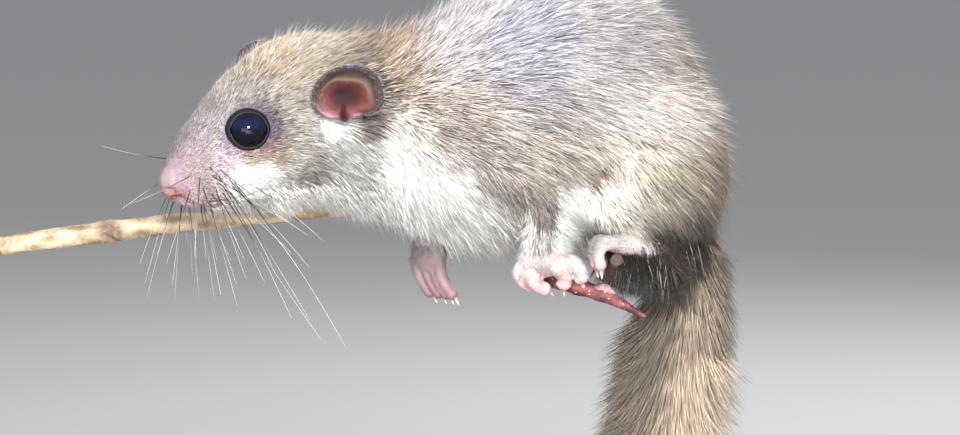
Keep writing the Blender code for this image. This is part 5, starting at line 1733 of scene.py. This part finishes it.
# %% Make the bark
TAN_TONES = (linear(122, 102, 82), linear(194, 176, 146), linear(76, 58, 50))
MAROON_TONES = (linear(60, 28, 32), linear(126, 70, 74), linear(40, 22, 24))
BUD_TONES = (linear(84, 54, 56), linear(156, 124, 126), linear(60, 36, 38))
branch_mesh = bark_mesh("branch_bark", BRANCH, BRANCH_KNOTS, 26, 420, TAN_TONES)
twig_mesh = bark_mesh("thorn_twig_bark", THORN_TWIG, TWIG_KNOTS, 22, 260, MAROON_TONES)
side_mesh = bark_mesh("side_twig_bark", SIDE_TWIG, SIDE_KNOTS, 22, 220, MAROON_TONES)
bud_mesh = bark_mesh("twig_bud", BUD, [], 18, 40, BUD_TONES)
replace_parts(add_piece("branch_bark", branch_mesh, bark_finish), "perch_branch")
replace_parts(add_piece("thorn_twig_bark", twig_mesh, bark_finish), "perch_spur")
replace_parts(add_piece("side_twig_bark", side_mesh, bark_finish), "perch_side_twig")
add_piece("twig_bud", bud_mesh, bark_finish)
print("bark", len(branch_mesh.polygons) + len(twig_mesh.polygons) + len(side_mesh.polygons), "faces")

# %% [markdown]
# Where the branch and the side twig were sawn, wood shows with its rings, pale on the branch
# and darkened as painted shade on the twig. Each cut is a thin disc whose colour follows its
# radius.


# %% Sawn ends
CUT_THICKNESS = 0.00025


def sawn_end(name, centre, axis, radius, cut_shade=1.0):
    """A thin disc with growth rings, across the axis; the last argument darkens it as painted shade."""
    turns, rings = 40, 14
    axis = np.array(Vector(axis).normalized())
    across = unit(np.cross(axis, [0.1, 0.2, 0.9]))
    other = np.cross(axis, across)
    share = np.linspace(0.03, 1.0, rings)
    angle = np.linspace(0, 2 * math.pi, turns, endpoint=False)
    ring = np.cos(angle)[:, None] * across + np.sin(angle)[:, None] * other
    flat = (share[:, None, None] * ring).reshape(-1, 3)
    centre = np.array(body(*centre))
    back, raised = centre + flat * radius * MM, axis * CUT_THICKNESS
    front = back + raised
    points = np.vstack([front, back, np.array([centre + raised, centre])])
    quads = ring_quads(rings, turns)[:(rings - 1) * turns]
    count, k = rings * turns, np.arange(turns)
    edge = (rings - 1) * turns + k
    next_edge = (rings - 1) * turns + (k + 1) % turns
    side = np.stack([edge, next_edge, next_edge + count, edge + count], 1)
    caps = np.vstack([np.stack([np.full(turns, 2 * count), k, (k + 1) % turns], 1),
                      np.stack([np.full(turns, 2 * count + 1), (k + 1) % turns + count, k + count], 1)])
    mesh = mesh_from_arrays(name, points, np.vstack([quads, quads[:, ::-1] + count, side]), caps)
    growth = 0.5 + 0.5 * np.sin(np.repeat(share, turns) * 26 + 0.6 * waves(front, 0.002, 76))
    tone = blend(linear(66, 50, 38), linear(92, 72, 54), growth)
    tone[-turns:] = linear(60, 44, 36)
    # Painted shade: the rings of the disc are darkened by this factor.
    tone *= cut_shade
    colour_points(mesh, np.vstack([tone, tone, linear(150, 112, 78), linear(150, 112, 78)]))
    outward_faces(mesh)
    add_piece(name, mesh, bark_finish)


sawn_end("branch_cut_left", BRANCH[0][:3], (-18, -0.4, -2.4), 1.95)
sawn_end("branch_cut_right", BRANCH[-1][:3], (27, 0, 2.2), 2.05)
# The side twig's cut is darkened as painted shade.
sawn_end("side_twig_cut", SIDE_TWIG[-1][:3], (-0.2, -5.6, 1.0), 1.2, 0.34)
print("three sawn ends")

# %% [markdown]
# Bark breathes through lenticels, small pale corky dots. They repeat by the hundred, so
# Geometry Nodes scatter them: points on the faces, one low ball on each, squashed against
# the bark, with a fixed seed.


# %% Nodes for lenticels
def lenticel_tree():
    """Nodes that scatter squashed balls over the bark."""
    tree, names = new_tree("lenticels on bark", "Bark", ("Density", "Float", 1.0e5),
                           ("Size", "Float", 0.0002), ("Seed", "Int", 5))
    start = tree.nodes.new("NodeGroupInput")
    scatter, place = new_nodes(tree, "GeometryNodeDistributePointsOnFaces", "GeometryNodeInstanceOnPoints")
    ball = tree.nodes.new("GeometryNodeMeshIcoSphere")
    vary, stretch = new_nodes(tree, "FunctionNodeRandomValue", "ShaderNodeVectorMath")
    ball.inputs["Subdivisions"].default_value = 2
    stretch.operation = "SCALE"
    stretch.inputs[0].default_value = (1.5, 1.0, 0.4)
    vary.data_type = "FLOAT"
    vary.inputs[2].default_value, vary.inputs[3].default_value = 0.5, 1.3
    link(tree, start, "Bark", scatter, "Mesh")
    link(tree, start, "Density", scatter, "Density")
    link(tree, start, "Seed", scatter, "Seed")
    link(tree, start, "Size", ball, "Radius")
    link(tree, vary, 1, stretch, "Scale")
    link(tree, scatter, "Points", place, "Points")
    link(tree, scatter, "Rotation", place, "Rotation")
    link(tree, ball, "Mesh", place, "Instance")
    link(tree, stretch, "Vector", place, "Scale")
    end_tree(tree, start, place, "Instances")
    return tree, names


# %% Grow the lenticels
def noisy_material(name, dark, pale, scale, roughness, bump, stretch=(1, 1, 1), metallic=0.0):
    """A material whose colour and bump follow one noise, stretched along an axis."""
    material, tree, shader = new_material(name, roughness, metallic)
    place = add_node(tree, "ShaderNodeTexCoord")
    mapping = add_node(tree, "ShaderNodeMapping", Scale=stretch)
    noise = add_node(tree, "ShaderNodeTexNoise", Scale=scale, Detail=6.0, Roughness=0.6)
    ramp = add_node(tree, "ShaderNodeValToRGB")
    ramp.color_ramp.elements[0].position, ramp.color_ramp.elements[1].position = 0.35, 0.68
    ramp.color_ramp.elements[0].color, ramp.color_ramp.elements[1].color = (*dark, 1), (*pale, 1)
    height = add_node(tree, "ShaderNodeBump", Strength=0.6, Distance=bump)
    link(tree, place, "Object", mapping, "Vector")
    link(tree, mapping, "Vector", noise, "Vector")
    link(tree, noise, "Fac", ramp, "Fac")
    link(tree, ramp, "Color", shader, "Base Color")
    link(tree, noise, "Fac", height, "Height")
    link(tree, height, "Normal", shader, "Normal")
    return material


cork_finish = noisy_material("pale cork", linear(128, 100, 92), linear(178, 154, 144), 2600.0, 0.8, 0.0001)
lenticel_nodes, lenticel_inputs = lenticel_tree()
for title, mesh, density, size, slot in (("branch", branch_mesh, 9.0e4, 0.00016, "bark"),
                                         ("thorn_twig", twig_mesh, 4.0e5, 0.00014, "twig"),
                                         ("side_twig", side_mesh, 2.5e5, 0.00014, "twig")):
    through_nodes(f"lenticels_{title}", mesh.copy(), lenticel_nodes, lenticel_inputs,
                  {"Density": density, "Size": size, "Seed": 5, "Finish": cork_finish})

# %% [markdown]
# ## Stand
#
# The display stand stays as its solids are: a turned base of dark satin wood with its grain,
# and a brushed brass rod and collar. Noise on the object's own coordinates, stretched one
# way, gives both the grain and the brushing.

# %% Stand of wood and brass
wood_finish = noisy_material("dark satin wood", linear(46, 28, 20), linear(92, 58, 38),
                             60.0, 0.35, 0.0001, (0.12, 1, 1))
brass_finish = noisy_material("brushed brass", linear(150, 120, 70), linear(196, 162, 102),
                              500.0, 0.3, 0.00002, (1, 1, 0.05), 1.0)


def dress(node, material):
    """Gives a solid its finish as it is."""
    nodes[node].data.materials.clear()
    nodes[node].data.materials.append(material)


dress("stand_base", wood_finish)
dress("stand_collar", brass_finish)
dress("stand_rod", brass_finish)

# %% [markdown]
# ## Floor, light and camera
#
# A plain pale floor, a small and strong key light from above in front, a broad and cooler
# fill from the left, a weak card of light from below, and a light from behind that picks
# out the edge of the fur. The camera does not see the lamps. It stands a little above the
# animal's middle, with a long lens. Colours are shown without a film curve, which would
# turn the pale coat grey.


# %% Floor, light and camera
def make_floor():
    """A large plain floor."""
    shape = bmesh.new()
    bmesh.ops.create_grid(shape, x_segments=1, y_segments=1, size=12.0)
    mesh = finished(shape, "floor")
    floor = bpy.data.objects.new("floor", mesh)
    material, _, shader = new_material("pale floor", 0.9, Specular_IOR_Level=0.0)
    shader.inputs["Base Color"].default_value = (0.4, 0.4, 0.397, 1)
    mesh.materials.append(material)
    bpy.context.scene.collection.objects.link(floor)


def add_light(name, place, size, power, colour=(1, 1, 1)):
    light = bpy.data.lights.new(name, "AREA")
    light.energy, light.size, light.color = power, size, colour
    lamp = bpy.data.objects.new(name, light)
    lamp.location = place
    lamp.rotation_euler = (TRUNK_MIDDLE - Vector(place)).to_track_quat("-Z", "Y").to_euler()
    lamp.visible_camera = False
    bpy.context.scene.collection.objects.link(lamp)


def make_light():
    """A dim room, three lamps and a card of light."""
    world = bpy.data.worlds.new("soft room")
    world.use_nodes = True
    background = world.node_tree.nodes["Background"]
    background.inputs["Color"].default_value = (0.92, 0.95, 1.0, 1)
    background.inputs["Strength"].default_value = 0.66
    bpy.context.scene.world = world
    add_light("key", (0.1, -1.1, 0.6), 0.26, 28.5, (1.0, 0.975, 0.945))
    add_light("fill", (-0.35, -1.15, 0.06), 0.9, 16.5, (0.93, 0.96, 1.0))
    add_light("edge", (0.35, 0.8, 0.75), 0.4, 8.0)
    add_light("card below", (0.02, -0.5, 0.02), 0.3, 1.9, (1.0, 0.985, 0.96))


CAMERA_DISTANCE, CAMERA_ELEVATION, FIELD_WIDTH = 0.70, math.radians(5.0), 0.20426


def make_camera():
    """A long lens at the height of a low tripod."""
    camera = bpy.data.cameras.new("camera")
    camera.sensor_width, camera.sensor_fit = 36.0, "HORIZONTAL"
    camera.lens = camera.sensor_width * CAMERA_DISTANCE / FIELD_WIDTH
    camera.clip_start, camera.clip_end = 0.02, 60.0
    holder = bpy.data.objects.new("camera", camera)
    away = Vector((0, -math.cos(CAMERA_ELEVATION), math.sin(CAMERA_ELEVATION)))
    holder.location = TRUNK_MIDDLE + away * CAMERA_DISTANCE
    holder.rotation_euler = (math.pi / 2 - CAMERA_ELEVATION, 0, 0)
    bpy.context.scene.collection.objects.link(holder)
    bpy.context.scene.camera = holder
    bpy.context.scene.view_settings.view_transform = "Standard"


# %% Set the stage
make_floor()
make_light()
make_camera()
print("camera", CAMERA_DISTANCE, "m away")
